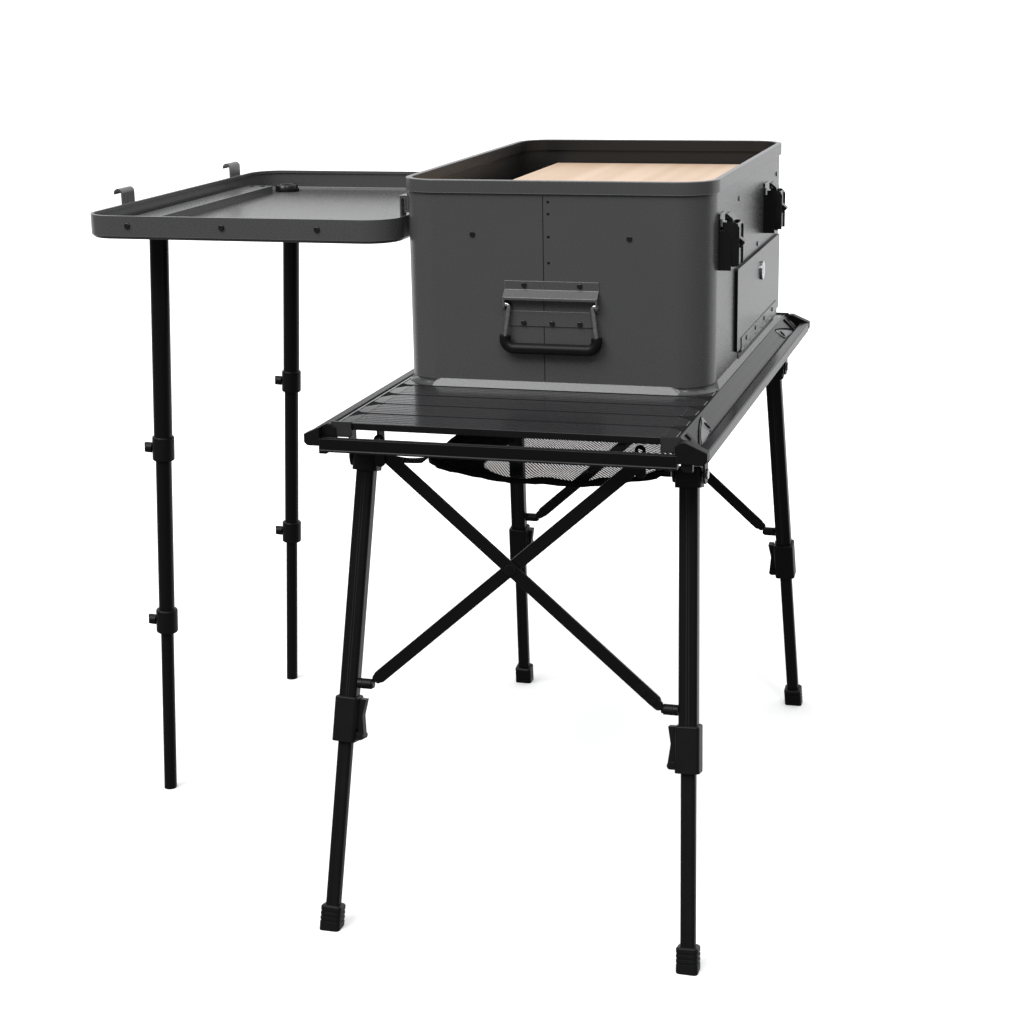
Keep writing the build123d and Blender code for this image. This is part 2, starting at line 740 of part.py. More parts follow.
drop = bail_z - bail_low_z
stub = handle_w / 2 - 0.4
bail_path = FilletPolyline(
    (handle_x - stub, 0, 0), (handle_x - bail_top_half, 0, 0), (handle_x - bail_low_half, 0, -drop),
    (handle_x + bail_low_half, 0, -drop), (handle_x + bail_top_half, 0, 0), (handle_x + stub, 0, 0),
    radius=[3.4, bail_corner_r, bail_corner_r, 3.4],
)
bail = sweep(Plane(origin=bail_path @ 0, z_dir=bail_path % 0) * Circle(bail_r), path=bail_path)
lean = (bail_low_half - bail_top_half) / drop
grip_x = handle_x - bail_low_half + lean * grip_up
grip_x1 = handle_x + bail_low_half - lean * grip_up
grip_path = FilletPolyline(
    (grip_x, 0, -drop + grip_up + 3), (handle_x - bail_low_half, 0, -drop),
    (handle_x + bail_low_half, 0, -drop), (grip_x1, 0, -drop + grip_up + 3),
    radius=bail_corner_r,
)
grip_plane = Plane(origin=grip_path @ 0, z_dir=grip_path % 0)
grip = sweep(grip_plane * Circle(grip_r), path=grip_path) - sweep(grip_plane * Circle(bail_r + 0.05), path=grip_path)
hang = Pos(0, face_y - bail_off, bail_z) * Rot(-bail_lean, 0, 0)
keep("handle_bail_near", hang * bail, hang * grip)
keep("handle_bail_far", far_end(hang * bail), far_end(hang * grip))

# ======== door on the box's right side, hung on a piano hinge along its lower edge ========
door_x = box_face + door_gap
door = span(door_x, door_x + door_t, door_y0, door_y1, door_z0, door_z1)
door = fillet(door.edges().filter_by(Axis.X), 4.0)
door -= rod_x(lock_shaft_r + pin_clear, door_x - 5, door_x + 20, lock_y, lock_z)
keep("door_panel", door)

knuckle = (hinge_y1 - hinge_y0) / hinge_count
fixed_leaf = span(box_face, box_face + hinge_leaf_t, hinge_y0, hinge_y1, hinge_z - 13, hinge_z - 3.0)
leaf_x = door_x + door_t
moving_leaf = span(leaf_x, leaf_x + hinge_leaf_t, hinge_y0, hinge_y1, hinge_z + 3.2, hinge_z + hinge_leaf_h)
for index in range(hinge_count):
    y0 = hinge_y0 + index * knuckle + hinge_play / 2
    y1 = y0 + knuckle - hinge_play
    if index % 2 == 0:
        fixed_leaf += rod_y(hinge_r, y0, y1, hinge_x, hinge_z)
        fixed_leaf += span(box_face, box_face + hinge_leaf_t, y0, y1, hinge_z - 3.2, hinge_z)
    else:
        moving_leaf += rod_y(hinge_r, y0, y1, hinge_x, hinge_z)
        moving_leaf += span(leaf_x, leaf_x + hinge_leaf_t, y0, y1, hinge_z, hinge_z + 3.4)
bore = rod_y(hinge_pin_r + pin_clear, hinge_y0 - 1, hinge_y1 + 1, hinge_x, hinge_z)
for rivet_y in range(4):
    moving_leaf += rod_x(
        3.0, leaf_x + hinge_leaf_t - 0.2, leaf_x + hinge_leaf_t + 1.4, hinge_y0 + 38 + rivet_y * 77, hinge_z + 11.5
    )
hinge_pin = rod_y(hinge_pin_r, hinge_y0, hinge_y1, hinge_x, hinge_z)
keep("door_hinge_fixed", fixed_leaf - bore, hinge_pin)
keep("door_hinge_leaf", moving_leaf - bore)

# Quarter-turn lock: round head outside, shaft through the door, cam inside.
lock = rod_x(lock_r, leaf_x + 0.1, leaf_x + 3.4, lock_y, lock_z)
lock = fillet(lock.edges().group_by(Axis.X)[-1], 1.0)
lock += rod_x(lock_shaft_r, box_face - box_wall - 4, leaf_x + 0.2, lock_y, lock_z)
cam_x = box_face - box_wall - 4
lock += span(cam_x, cam_x + 3, lock_y - 6, lock_y + lock_cam_len, lock_z - 6, lock_z + 6)
lock -= span(leaf_x + 2.2, leaf_x + 4, lock_y - 1, lock_y + 1, lock_z - 6, lock_z + 6)
keep("door_lock", lock)

# ======== draw latches above the door ========
bases = []
for mid_y in latch_y:
    half = latch_w / 2
    base = span(box_face, box_face + latch_sheet, mid_y - half, mid_y + half, latch_z0, latch_z0 + latch_h)
    cheek_points = [
        (box_face, latch_z0),
        (box_face + latch_cheek_x, latch_z0),
        (box_face + latch_cheek_x, latch_z0 + latch_cheek_z - 12),
        (box_face + 8, latch_z0 + latch_cheek_z),
        (box_face, latch_z0 + latch_cheek_z),
    ]
    for y0 in (mid_y - half, mid_y + half - latch_sheet):
        base += along_y(cheek_points, y0, y0 + latch_sheet)
    base += rod_y(latch_pin_r, mid_y - half, mid_y + half, box_face + latch_pin_x, latch_z0 + latch_pin_z)
    bases.append(base)
keep("latch_bases", bases)

for name, mid_y in zip(("near", "far"), latch_y):
    half = latch_w / 2 - latch_sheet - 0.5
    pin_at = (box_face + latch_pin_x, latch_z0 + latch_pin_z)
    front = box_face + latch_front
    side_points = [
        (box_face + 4.5, latch_z0 + 4.5),
        (front, latch_z0 + 8),
        (front, latch_z0 + 58),
        (front - 5, latch_z0 + 60),
        (box_face + 12, latch_z0 + 46),
        (box_face + 5, latch_z0 + 20),
    ]
    handle = along_y(side_points, mid_y - half, mid_y + half)
    handle -= span(
        box_face, front - latch_sheet, mid_y - half + latch_sheet, mid_y + half - latch_sheet, latch_z0,
        latch_z0 + 62,
    )
    finger_points = [
        (front - 0.5, latch_z0 + 26),
        (front + 7, latch_z0 + 33),
        (front + 7, latch_z0 + 35),
        (front - 0.5, latch_z0 + 41),
    ]
    handle += along_y(finger_points, mid_y - 7, mid_y + 7)
    handle -= rod_y(latch_pin_r + pin_clear, mid_y - 30, mid_y + 30, *pin_at)
    claw_at = (box_face + claw_pin_x, latch_z0 + claw_pin_z)
    handle += rod_y(latch_pin_r, mid_y - half + 0.5, mid_y + half - 0.5, *claw_at)
    keep("latch_lever_" + name, handle)
    claw_half = half - latch_sheet - 0.5
    claw_points = [
        (claw_at[0] - 4, claw_at[1] - 5),
        (claw_at[0] + 4, claw_at[1] - 5),
        (claw_at[0] + 2, latch_z0 + 64),
        (claw_at[0] - 5, latch_z0 + 70),
        (claw_at[0] - 8, latch_z0 + 70),
        (claw_at[0] - 8, latch_z0 + 62),
        (claw_at[0] - 6, latch_z0 + 62),
        (claw_at[0] - 5, latch_z0 + 66),
        (claw_at[0] - 2, latch_z0 + 60),
    ]
    claw = along_y(claw_points, mid_y - claw_half, mid_y + claw_half)
    claw -= rod_y(latch_pin_r + pin_clear, mid_y - 30, mid_y + 30, *claw_at)
    keep("latch_claw_" + name, claw)

# ======== serving board on ledges inside the box ========
rim_half = box_face - rim_in
board_x1 = rim_half - board_clear
board_y0 = box_y0 + rim_in + board_clear
board_y1 = box_y1 - rim_in - board_clear
board = span(-board_left, board_x1, board_y0, board_y1, board_top - board_t, board_top)
right_corners = board.edges().filter_by(Axis.Z).group_by(Axis.X)[-1]
board = fillet(right_corners, board_r)
board = fillet(board.edges().filter_by(Axis.Z).group_by(Axis.X)[0], 3.0)
keep("serving_board", board)

ledge_top = board_top - board_t
wall_y = box_y0 + box_wall
ledge_points = [
    (wall_y, ledge_top),
    (wall_y + ledge_box_d, ledge_top),
    (wall_y + ledge_box_d, ledge_top - ledge_box_t),
    (wall_y + ledge_box_t, ledge_top - ledge_box_t),
    (wall_y + ledge_box_t, ledge_top - ledge_box_h),
    (wall_y, ledge_top - ledge_box_h),
]
board_ledge = along_x(ledge_points, -ledge_box_half, ledge_box_half)
keep("board_ledges", board_ledge, far_end(board_ledge))

# ======== keepers on the box's left side, and small fasteners of the box ========
keepers = []
tongue_x = -box_face - keeper_t - keeper_play
keeper_slot = tongue_x - keeper_tongue - keeper_play
for mid_y in hook_y:
    keeper_points = [
        (-box_face, keeper_low),
        (keeper_slot - keeper_lip_t, keeper_low),
        (keeper_slot - keeper_lip_t, keeper_lip_top),
        (keeper_slot, keeper_lip_top),
        (keeper_slot, keeper_low + 2.4),
        (-box_face - keeper_t, keeper_low + 2.4),
        (-box_face - keeper_t, keeper_top),
        (-box_face, keeper_top),
    ]
    keepers.append(along_y(keeper_points, mid_y - hook_w / 2, mid_y + hook_w / 2))
keep("tray_keepers", keepers)


def dome(radius, height, at, axis):
    """Low rounded fastener head standing on a face; axis is the outward direction."""
    head = Pos(0, 0, height / 2) * Cylinder(radius, height)
    head = fillet(head.edges().group_by(Axis.Z)[-1], height * 0.45)
    return Plane(origin=at, z_dir=axis).location * head


box_heads = []
for x, z in ((-104, 841), (98, 839)):
    head = dome(3.6, 1.6, (x, box_y0, z), (0, -1, 0))
    box_heads += [head, far_end(head)]
for x, z in ((-37, 779), (35, 779), (-38, 731), (-1, 731), (35, 731)):
    head = dome(3.4, 2.2, (x, box_y0 - handle_t, z), (0, -1, 0))
    box_heads += [head, far_end(head)]
for y, z in ((door_y0 + 24, rim_bottom - 25), (door_y1 - 15, rim_bottom - 26), (lock_y - 13, door_z1 + 9)):
    box_heads.append(dome(3.2, 1.4, (box_face, y, z), (1, 0, 0)))
keep("box_fasteners", box_heads)

# ======== side tray: the box's lid turned over ========
tray = slab(tray_w, tray_len, tray_r, tray_bottom, tray_top, *tray_mid)
tray = chamfer(tray.edges().group_by(Axis.Z)[0], tray_bevel)
tray_floor = tray_bottom + tray_wall
inside = slab(
    tray_w - 2 * tray_wall, tray_len - 2 * tray_wall, tray_r - tray_wall, tray_floor, tray_top - tray_bead,
    *tray_mid
)
inside = chamfer(inside.edges().group_by(Axis.Z)[0], tray_bevel - 1)
tray -= inside
tray -= slab(
    tray_w - 2 * tray_bead, tray_len - 2 * tray_bead, tray_r - tray_bead, tray_floor + 5, tray_top, *tray_mid
)
for mid_y in pole_y:
    socket_x = pole_top_x
    tray -= Pos(socket_x, mid_y, tray_bottom) * Cylinder(socket_r, 20)
keep("tray_pan", tray)

catches = []
for mid_y in catch_y:
    z_top = tray_top + catch_rise - catch_curl
    x_out = tray_x0
    plate = span(x_out - catch_t, x_out, mid_y - catch_w / 2, mid_y + catch_w / 2, tray_top - 24, z_top)
    curl = rod_y(catch_curl, mid_y - catch_w / 2, mid_y + catch_w / 2, x_out - catch_curl, z_top)
    curl -= rod_y(catch_curl - catch_t, mid_y - catch_w, mid_y + catch_w, x_out - catch_curl, z_top)
    curl -= span(
        x_out - 3 * catch_curl, x_out + 5, mid_y - catch_w, mid_y + catch_w, z_top - 2 * catch_curl, z_top - 1.5
    )
    catches.append(plate + curl)
keep("tray_catches", catches)

channel_y0 = tray_y0 + channel_inset
channel_points = [
    (channel_x0, tray_floor),
    (channel_x0, channel_top),
    (channel_x1, channel_top),
    (channel_x1, tray_floor),
    (channel_x1 - channel_t, tray_floor),
    (channel_x1 - channel_t, channel_top - channel_t),
    (channel_x0 + channel_t, channel_top - channel_t),
    (channel_x0 + channel_t, tray_floor),
]
keep("tray_channel", along_y(channel_points, channel_y0, channel_y1))

hooks = []
for mid_y in hook_y:
    strap_x = tray_x1 - tray_bead
    top_low = keeper_lip_top + 0.2
    hook_points = [
        (strap_x, tray_floor + 8),
        (strap_x - hook_t, tray_floor + 8),
        (strap_x - hook_t, top_low + hook_t + 2),
        (tongue_x, top_low + hook_t + 2),
        (tongue_x, keeper_low + 4),
        (tongue_x - keeper_tongue, keeper_low + 4),
        (tongue_x - keeper_tongue, top_low),
        (strap_x, top_low),
    ]
    hooks.append(along_y(hook_points, mid_y - hook_w / 2 + 1, mid_y + hook_w / 2 - 1))
keep("tray_hooks", hooks)

tray_heads = []
for x in (tray_x0 + 71, tray_x0 + 206, tray_x0 + 339):
    tray_heads.append(dome(4.0, 2.4, (x, tray_y0, tray_top - 13), (0, -1, 0)))
    tray_heads.append(dome(4.0, 2.4, (x, tray_y1, tray_top - 13), (0, 1, 0)))
for mid_y in catch_y:
    for side in (-1, 1):
        tray_heads.append(dome(3.2, 1.8, (tray_x0 - catch_t, mid_y + side * 10, tray_top - 14), (-1, 0, 0)))
for y in (channel_y0 + 14, channel_y1 - 14):
    for side in (-1, 1):
        x = (channel_x0 + channel_x1) / 2 + side * 9
        tray_heads.append(dome(3.4, 1.4, (x, y, channel_top), (0, 0, 1)))
keep("tray_fasteners", tray_heads)

# ======== telescopic poles under the tray ========
sockets = []
for name, mid_y in zip(("near", "far"), pole_y):
    socket = Pos(pole_top_x, mid_y, (pole_top_z + tray_bottom) / 2) * Cylinder(
        socket_flange_r, tray_bottom - pole_top_z
    )
    socket_top = tray_floor + socket_rise
    socket += Pos(pole_top_x, mid_y, (pole_top_z + socket_top) / 2) * Cylinder(socket_r, socket_top - pole_top_z)
    socket -= Pos(pole_top_x, mid_y, socket_top) * Cylinder(socket_bore_r, 12)
    sockets.append(socket)

    top = Vector(pole_top_x, mid_y, pole_top_z)
    pole_up = (top - Vector(pole_foot_x, mid_y, 0)).normalized()
    pole_len = (top - Vector(pole_foot_x, mid_y, 0)).length
    pole = Plane(origin=top, x_dir=(pole_up.Z, 0, -pole_up.X), z_dir=pole_up).location
    ends = [0.0] + [-(pole_top_z - z) / pole_up.Z for z in pole_collar_z] + [-pole_len]

    def pole_tube(index, start, stop):
        outer = pole_d[index] / 2
        tube = Pos(0, 0, (start + stop) / 2) * Cylinder(outer, start - stop)
        return tube - Pos(0, 0, (start + stop) / 2) * Cylinder(outer - pole_wall[index], start - stop + 2)

    def pole_collar(index):
        """Clamp collar at the lower end of section index, with a threaded side hole for the knob."""
        z1 = ends[index + 1]
        z0 = z1 - pole_collar_h
        body = Pos(0, 0, (z0 + z1) / 2) * Cylinder(pole_collar_d / 2, pole_collar_h)
        body = fillet(body.edges().group_by(Axis.Z)[0] + body.edges().group_by(Axis.Z)[-1], 2.5)
        body -= Pos(0, 0, z1) * Cylinder(pole_d[index] / 2, 2 * pole_collar_h - 24)
        body -= Pos(0, 0, (z0 + z1) / 2) * Cylinder(pole_d[index + 1] / 2 + pole_play, 80)
        body -= rod_x(knob_stem_r + pin_clear, -30, 0, 0, (z0 + z1) / 2 - 1)
        return body

    seat = pole_collar_h - 12
    levelled = span(pole_foot_x - 180, pole_top_x + 180, mid_y - 60, mid_y + 60, pole_top_z, pole_top_z + 60)
    upper = pole * pole_tube(0, 3, ends[1] - pole_collar_h + 12 + 11.5) - levelled
    middle = pole * pole_tube(1, ends[1] + pole_lap, ends[2] - pole_collar_h + 12 + 11.5)
    lower = pole * pole_tube(2, ends[2] + pole_lap, ends[3] - 3)
    lower -= span(pole_foot_x - 180, pole_top_x + 180, mid_y - 60, mid_y + 60, -40, 0)
    keep("pole_upper_" + name, upper, pole * pole_collar(0))
    keep("pole_middle_" + name, middle, pole * pole_collar(1))
    keep("pole_lower_" + name, lower)
    for index, level in ((0, "upper"), (1, "lower")):
        z = ends[index + 1] - pole_collar_h / 2 - 1
        reach = pole_collar_d / 2
        knob = rod_x(knob_stem_r, -reach - 3, -pole_d[index + 1] / 2 - 1, 0, z)
        knob += rod_x(knob_r, -reach - knob_len + 3, -reach - 0.6, 0, z)
        knob += span(-reach - knob_len, -reach - 2, -1.8, 1.8, z - knob_r, z + knob_r)
        keep("pole_knob_" + level + "_" + name, pole * knob)
keep("pole_sockets", sockets)
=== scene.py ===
import bpy, bmesh, json, math
from mathutils import Matrix, Vector

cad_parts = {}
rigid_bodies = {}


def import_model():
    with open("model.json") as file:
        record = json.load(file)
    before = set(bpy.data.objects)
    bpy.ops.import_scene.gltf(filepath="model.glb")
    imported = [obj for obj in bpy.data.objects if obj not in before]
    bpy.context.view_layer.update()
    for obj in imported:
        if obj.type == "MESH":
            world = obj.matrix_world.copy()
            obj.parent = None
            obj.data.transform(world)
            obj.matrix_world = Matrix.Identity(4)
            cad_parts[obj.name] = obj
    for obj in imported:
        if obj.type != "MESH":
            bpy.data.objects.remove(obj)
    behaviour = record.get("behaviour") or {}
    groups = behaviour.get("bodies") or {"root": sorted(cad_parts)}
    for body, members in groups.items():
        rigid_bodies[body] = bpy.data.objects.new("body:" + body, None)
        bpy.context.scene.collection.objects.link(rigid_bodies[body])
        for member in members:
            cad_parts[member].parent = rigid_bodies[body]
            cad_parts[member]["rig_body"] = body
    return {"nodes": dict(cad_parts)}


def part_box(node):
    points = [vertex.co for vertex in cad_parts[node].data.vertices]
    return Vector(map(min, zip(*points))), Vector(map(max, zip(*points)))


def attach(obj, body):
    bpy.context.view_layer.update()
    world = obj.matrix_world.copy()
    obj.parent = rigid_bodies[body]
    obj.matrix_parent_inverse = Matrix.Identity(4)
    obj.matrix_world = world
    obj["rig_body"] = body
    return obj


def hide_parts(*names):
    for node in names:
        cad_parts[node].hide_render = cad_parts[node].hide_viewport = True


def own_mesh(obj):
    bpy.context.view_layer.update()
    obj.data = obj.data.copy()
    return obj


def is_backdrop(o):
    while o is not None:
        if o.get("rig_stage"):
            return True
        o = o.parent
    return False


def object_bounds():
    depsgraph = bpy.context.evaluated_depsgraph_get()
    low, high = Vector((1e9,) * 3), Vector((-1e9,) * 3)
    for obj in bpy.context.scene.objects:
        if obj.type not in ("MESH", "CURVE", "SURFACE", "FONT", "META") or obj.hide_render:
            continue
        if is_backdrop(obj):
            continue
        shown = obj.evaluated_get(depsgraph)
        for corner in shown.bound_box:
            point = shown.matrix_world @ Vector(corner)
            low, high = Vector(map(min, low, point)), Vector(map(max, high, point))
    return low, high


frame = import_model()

cad_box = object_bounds()

# ======== studio ========
# The table stands on a pale seamless floor under two distant lamps, in air that is bright behind
# and above it and dim in front. It is seen from its near end, a little from the right and from
# above the box.
scene = bpy.context.scene
scene.view_settings.view_transform = "Standard"
camera_at = Vector((0.8294, -2.5203, 1.1549))
turn, dip, tip = -0.2830, 0.2674, -0.0184
ahead = Vector((math.sin(turn) * math.cos(dip), math.cos(turn) * math.cos(dip), -math.sin(dip)))
level = Vector((math.cos(turn), -math.sin(turn), 0))
upward = level.cross(ahead)
right = level * math.cos(tip) + upward * math.sin(tip)
upright = upward * math.cos(tip) - level * math.sin(tip)
lens = bpy.data.cameras.new("camera")
lens.sensor_width = 36
lens.lens = 68.14
lens.shift_x, lens.shift_y = 0.0005, -0.0060
lens.clip_end = 400
camera = bpy.data.objects.new("camera", lens)
camera.matrix_world = Matrix.Translation(camera_at) @ Matrix((right, upright, -ahead)).transposed().to_4x4()
scene.collection.objects.link(camera)
scene.camera = camera


def step(made, kind, settings=None, **inputs):
    """Add one texture or maths step to a material; an input may be a value or another step's output."""
    node = made.node_tree.nodes.new("ShaderNode" + kind)
    for key, value in (settings or {}).items():
        setattr(node, key, value)
    for key, value in inputs.items():
        named = key.replace("_", " ")
        socket = node.inputs[named] if named in node.inputs else node.inputs[int(key[1:])]
        if isinstance(value, bpy.types.NodeSocket):
            made.node_tree.links.new(value, socket)
        else:
            socket.default_value = value
    return node


def reckon(made, operation, first, second):
    """One step of arithmetic on two values."""
    return step(made, "Math", {"operation": operation}, n0=first, n1=second).outputs[0]


# Faces turned to the front stay dark in this air, and faces seen at a slant carry a pale sheen.
air = bpy.data.worlds.new("studio_air")
scene.world = air
air.use_nodes = True
way = step(air, "SeparateXYZ", Vector=step(air, "TexCoord").outputs["Generated"])
dim_air, bright_air = 0.16, 1.06


def rise(direction, start, full, most=1.0):
    """A share of the brightness, which rises smoothly along one direction."""
    return step(air, "MapRange", {"interpolation_type": "SMOOTHSTEP"}, Value=way.outputs[direction],
                From_Min=start, From_Max=full, To_Max=most).outputs["Result"]


behind, above, not_below = rise("Y", 0.12, 0.6), rise("Z", 0.3, 0.75, 0.9), rise("Z", -0.6, -0.3)
lit = reckon(air, "MULTIPLY", reckon(air, "MAXIMUM", behind, above), not_below)
strength = step(air, "MapRange", Value=lit, To_Min=dim_air, To_Max=bright_air).outputs["Result"]
# The backdrop itself stays white.
strength = reckon(air, "MAXIMUM", strength, step(air, "LightPath").outputs["Is Camera Ray"])
backdrop = air.node_tree.nodes["Background"]
backdrop.inputs["Color"].default_value = (0.985, 0.99, 1.0, 1)
air.node_tree.links.new(strength, backdrop.inputs["Strength"])


def far_lamp(name, towards, spread_degrees, power):
    """A distant lamp; the wider its spread, the softer its shadows."""
    lamp = bpy.data.lights.new(name, "SUN")
    lamp.angle, lamp.energy = math.radians(spread_degrees), power
    held = bpy.data.objects.new(name, lamp)
    held.rotation_euler = Vector(towards).to_track_quat("-Z", "Y").to_euler()
    scene.collection.objects.link(held)


far_lamp("wide_lamp", (0.5, 0.75, -1.0), 40, 1.9)
far_lamp("small_lamp", (-0.35, 0.8, -0.9), 9, 0.5)


def finish(name, colour, rough, metal=0.0, gloss=0.5):
    """A material with one shader; what is even all over is set on the shader itself."""
    made = bpy.data.materials.new(name)
    made.use_nodes = True
    shader = made.node_tree.nodes["Principled BSDF"]
    shader.inputs["Base Color"].default_value = (*colour, 1)
    shader.inputs["Roughness"].default_value = rough
    shader.inputs["Metallic"].default_value = metal
    shader.inputs["Specular IOR Level"].default_value = gloss
    return made


def feed(made, output, socket):
    """Let a value drive one of the shader's sockets."""
    made.node_tree.links.new(output, made.node_tree.nodes["Principled BSDF"].inputs[socket])


def grain(made, scale, detail=2.0, stretch=(1, 1, 1)):
    """Noise of so many cells to the metre, fixed to the piece, drawn out along an axis by stretch."""
    spot = step(made, "TexCoord").outputs["Object"]
    if stretch != (1, 1, 1):
        spot = step(made, "Mapping", Vector=spot, Scale=stretch).outputs["Vector"]
    return step(made, "TexNoise", Vector=spot, Scale=scale, Detail=detail, Roughness=0.6).outputs["Fac"]


def tint(made, factor, dark, light):
    """Blend two colours by a value."""
    ramp = step(made, "ValToRGB", Fac=factor)
    ramp.color_ramp.elements[0].color = (*dark, 1)
    ramp.color_ramp.elements[1].color = (*light, 1)
    return ramp.outputs["Color"]


# The floor glows a little, so that the table's shade on it is faint. It neither shows in
# reflections nor lights the table.
floor_paper = finish("floor_paper", (0.9, 0.9, 0.9), 0.9, gloss=0.1)
glow = floor_paper.node_tree.nodes["Principled BSDF"].inputs
glow["Emission Color"].default_value = (1, 1, 1, 1)
glow["Emission Strength"].default_value = 0.26
paper_shade = tint(floor_paper, grain(floor_paper, 3), (0.925, 0.925, 0.925), (0.94, 0.94, 0.94))
feed(floor_paper, paper_shade, "Base Color")
floor_mesh = bpy.data.meshes.new("floor")
half = 150
floor_corners = [(-half, -half, 0), (half, -half, 0), (half, half, 0), (-half, half, 0)]
floor_mesh.from_pydata(floor_corners, [], [(0, 1, 2, 3)])
floor_mesh.materials.append(floor_paper)
ground = bpy.data.objects.new("floor", floor_mesh)
scene.collection.objects.link(ground)
ground.visible_glossy = ground.visible_diffuse = False
ground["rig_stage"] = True

# ======== deck slats ========
# Fifteen extruded aluminium boards with fine grooves along them, dark anodised. They lie on the
# rails' ledges with a narrow gap between neighbours, and roll up with the rails taken off.
sharp_corner = 34


def place(name, mesh, body, slot, *finishes):
    """Put a finished mesh on its body."""
    piece = bpy.data.objects.new(name, mesh)
    scene.collection.objects.link(piece)
    for made in finishes:
        mesh.materials.append(made)
    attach(piece, body)
    return piece


def smooth(mesh, sharp):
    """Shade the mesh as smooth, but for edges that turn by more than so many degrees."""
    for face in mesh.polygons:
        face.use_smooth = True
    mesh.set_sharp_from_angle(angle=math.radians(sharp))


def break_edges(work, width, sharp, held_back):
    """Round off the sharp edges, width in millimetres, and give the new faces."""
    corners = [
        line for line in work.edges
        if len(line.link_faces) == 2 and line.calc_face_angle(0) > math.radians(sharp)
    ]
    cut = bmesh.ops.bevel(
        work, geom=corners, offset=width / 1000, offset_type="OFFSET", segments=2, profile=0.6,
        affect="EDGES", clamp_overlap=held_back,
    )
    return cut["faces"]


def separate_solids(work):
    """The faces of each solid in the mesh, one set at a time."""
    left = set(work.faces)
    while left:
        solid, reach = set(), [next(iter(left))]
        while reach:
            face = reach.pop()
            if face not in solid:
                solid.add(face)
                reach += [other for line in face.edges for other in line.link_faces if other not in solid]
        left -= solid
        yield solid


def dress(node, slot, *finishes, edge=0.35, split=None, reshape=None, facing=None):
    """The node's shape with its flat faces made whole and its corners broken by edge millimetres,
    so that they catch the light. split picks the finish of a whole solid from its lowest and
    highest corners, and facing picks that of a single face."""
    work = bmesh.new()
    work.from_mesh(frame["nodes"][node].data)
    bmesh.ops.remove_doubles(work, verts=work.verts, dist=2e-6)
    bmesh.ops.dissolve_limit(work, angle_limit=math.radians(0.6), verts=work.verts, edges=work.edges)
    if reshape is not None:
        reshape(work)
    # The broken corners are marked so that the coats can paint them lighter, partly as wear and partly as
    # painted highlight.
    wear_and_highlight = work.faces.layers.float.new("wear_and_highlight")
    if edge:
        for face in break_edges(work, edge, sharp_corner, held_back=False):
            face[wear_and_highlight] = 1.0
    if split is not None:
        for solid in separate_solids(work):
            points = [vert.co for face in solid for vert in face.verts]
            low = Vector([min(p[i] for p in points) for i in range(3)])
            high = Vector([max(p[i] for p in points) for i in range(3)])
            for face in solid:
                face.material_index = split(low, high)
    if facing is not None:
        for face in work.faces:
            face.material_index = facing(face)
    mesh = bpy.data.meshes.new(node + "_finished")
    work.to_mesh(mesh)
    work.free()
    smooth(mesh, sharp_corner)
    piece = place(node + "_finished", mesh, frame["nodes"][node]["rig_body"], slot, *finishes)
    flat = piece.modifiers.new("flat_faces", "WEIGHTED_NORMAL")
    flat.keep_sharp = True
    flat.weight = 80
    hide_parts(node)


def spread(made, value, low, high):
    """Turn the middle part of a noise value into a range."""
    return step(made, "MapRange", Value=value, From_Min=0.3, From_Max=0.7,
                To_Min=low, To_Max=high).outputs["Result"]


def vary(made, shade, dark, light, wear, least_rough, most_rough):
    """Let the colour follow one value and the roughness another."""
    feed(made, tint(made, shade, dark, light), "Base Color")
    feed(made, spread(made, wear, least_rough, most_rough), "Roughness")


def relief(made, height, depth, strength):
    """Raise the surface by a height value, depth in metres."""
    bump = step(made, "Bump", Height=height, Distance=depth, Strength=strength)
    feed(made, bump.outputs["Normal"], "Normal")


def is_slat_side(face):
    """The upright faces along the gaps between slats."""
    return int(abs(face.normal.y) > 0.9)


brushed_slat = finish("brushed_slat", (0.028, 0.028, 0.03), 0.15, gloss=1.0)
streaks = grain(brushed_slat, 420, 2, (0.001, 1, 1))
vary(brushed_slat, streaks, (0.022, 0.022, 0.0235), (0.034, 0.034, 0.036), streaks, 0.13, 0.2)
relief(brushed_slat, grain(brushed_slat, 2600, 1, (0.02, 1, 1)), 0.000004, 0.3)
# Painted shade: the slats' upright faces in the gaps get a much darker copy of the anodising.
shaded_slat_side = finish("shaded_slat_side", (0.008, 0.008, 0.0085), 0.3, gloss=0.2)
vary(shaded_slat_side, grain(shaded_slat_side, 60), (0.006, 0.006, 0.0065), (0.011, 0.011, 0.0115),
     grain(shaded_slat_side, 600), 0.26, 0.36)
dress("deck_slats", "deck_aluminium", brushed_slat, shaded_slat_side, edge=0.5, facing=is_slat_side)

# ======== end caps and slat joints ========
# Black moulded caps close both ends of each slat and both ends of the two rails, pushed in and
# held by their own barbs. Thin black sheets laid on the deck are painted shade for the gaps between
# slats, and open into a notch where the rounded caps of two neighbours meet.
cap_top = finish("cap_top", (0.024, 0.024, 0.025), 0.17, gloss=0.95)
vary(cap_top, grain(cap_top, 60), (0.018, 0.018, 0.019), (0.03, 0.03, 0.031),
     grain(cap_top, 700), 0.14, 0.22)
dress("deck_end_caps", "black_plastic", cap_top, edge=0.4)

box_low, box_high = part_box("box_shell")
middle = (box_low.x + box_high.x) / 2
X, Y, Z = Vector((1, 0, 0)), Vector((0, 1, 0)), Vector((0, 0, 1))


def at(x, y, z):
    """A place in millimetres: across from the box's middle line, along the table, up from the floor."""
    return Vector((middle + x / 1000, y / 1000, z / 1000))


def slab(work, outline, out, index=0):
    """A flat plate: its outline, drawn out by a vector."""
    near = [work.verts.new(point) for point in outline]
    far = [work.verts.new(point + out) for point in outline]
    made = [work.faces.new(near), work.faces.new(far[::-1])]
    made += [
        work.faces.new((a, b, d, c))
        for a, b, c, d in zip(near, near[1:] + near[:1], far, far[1:] + far[:1])
    ]
    for face in made:
        face.material_index = index


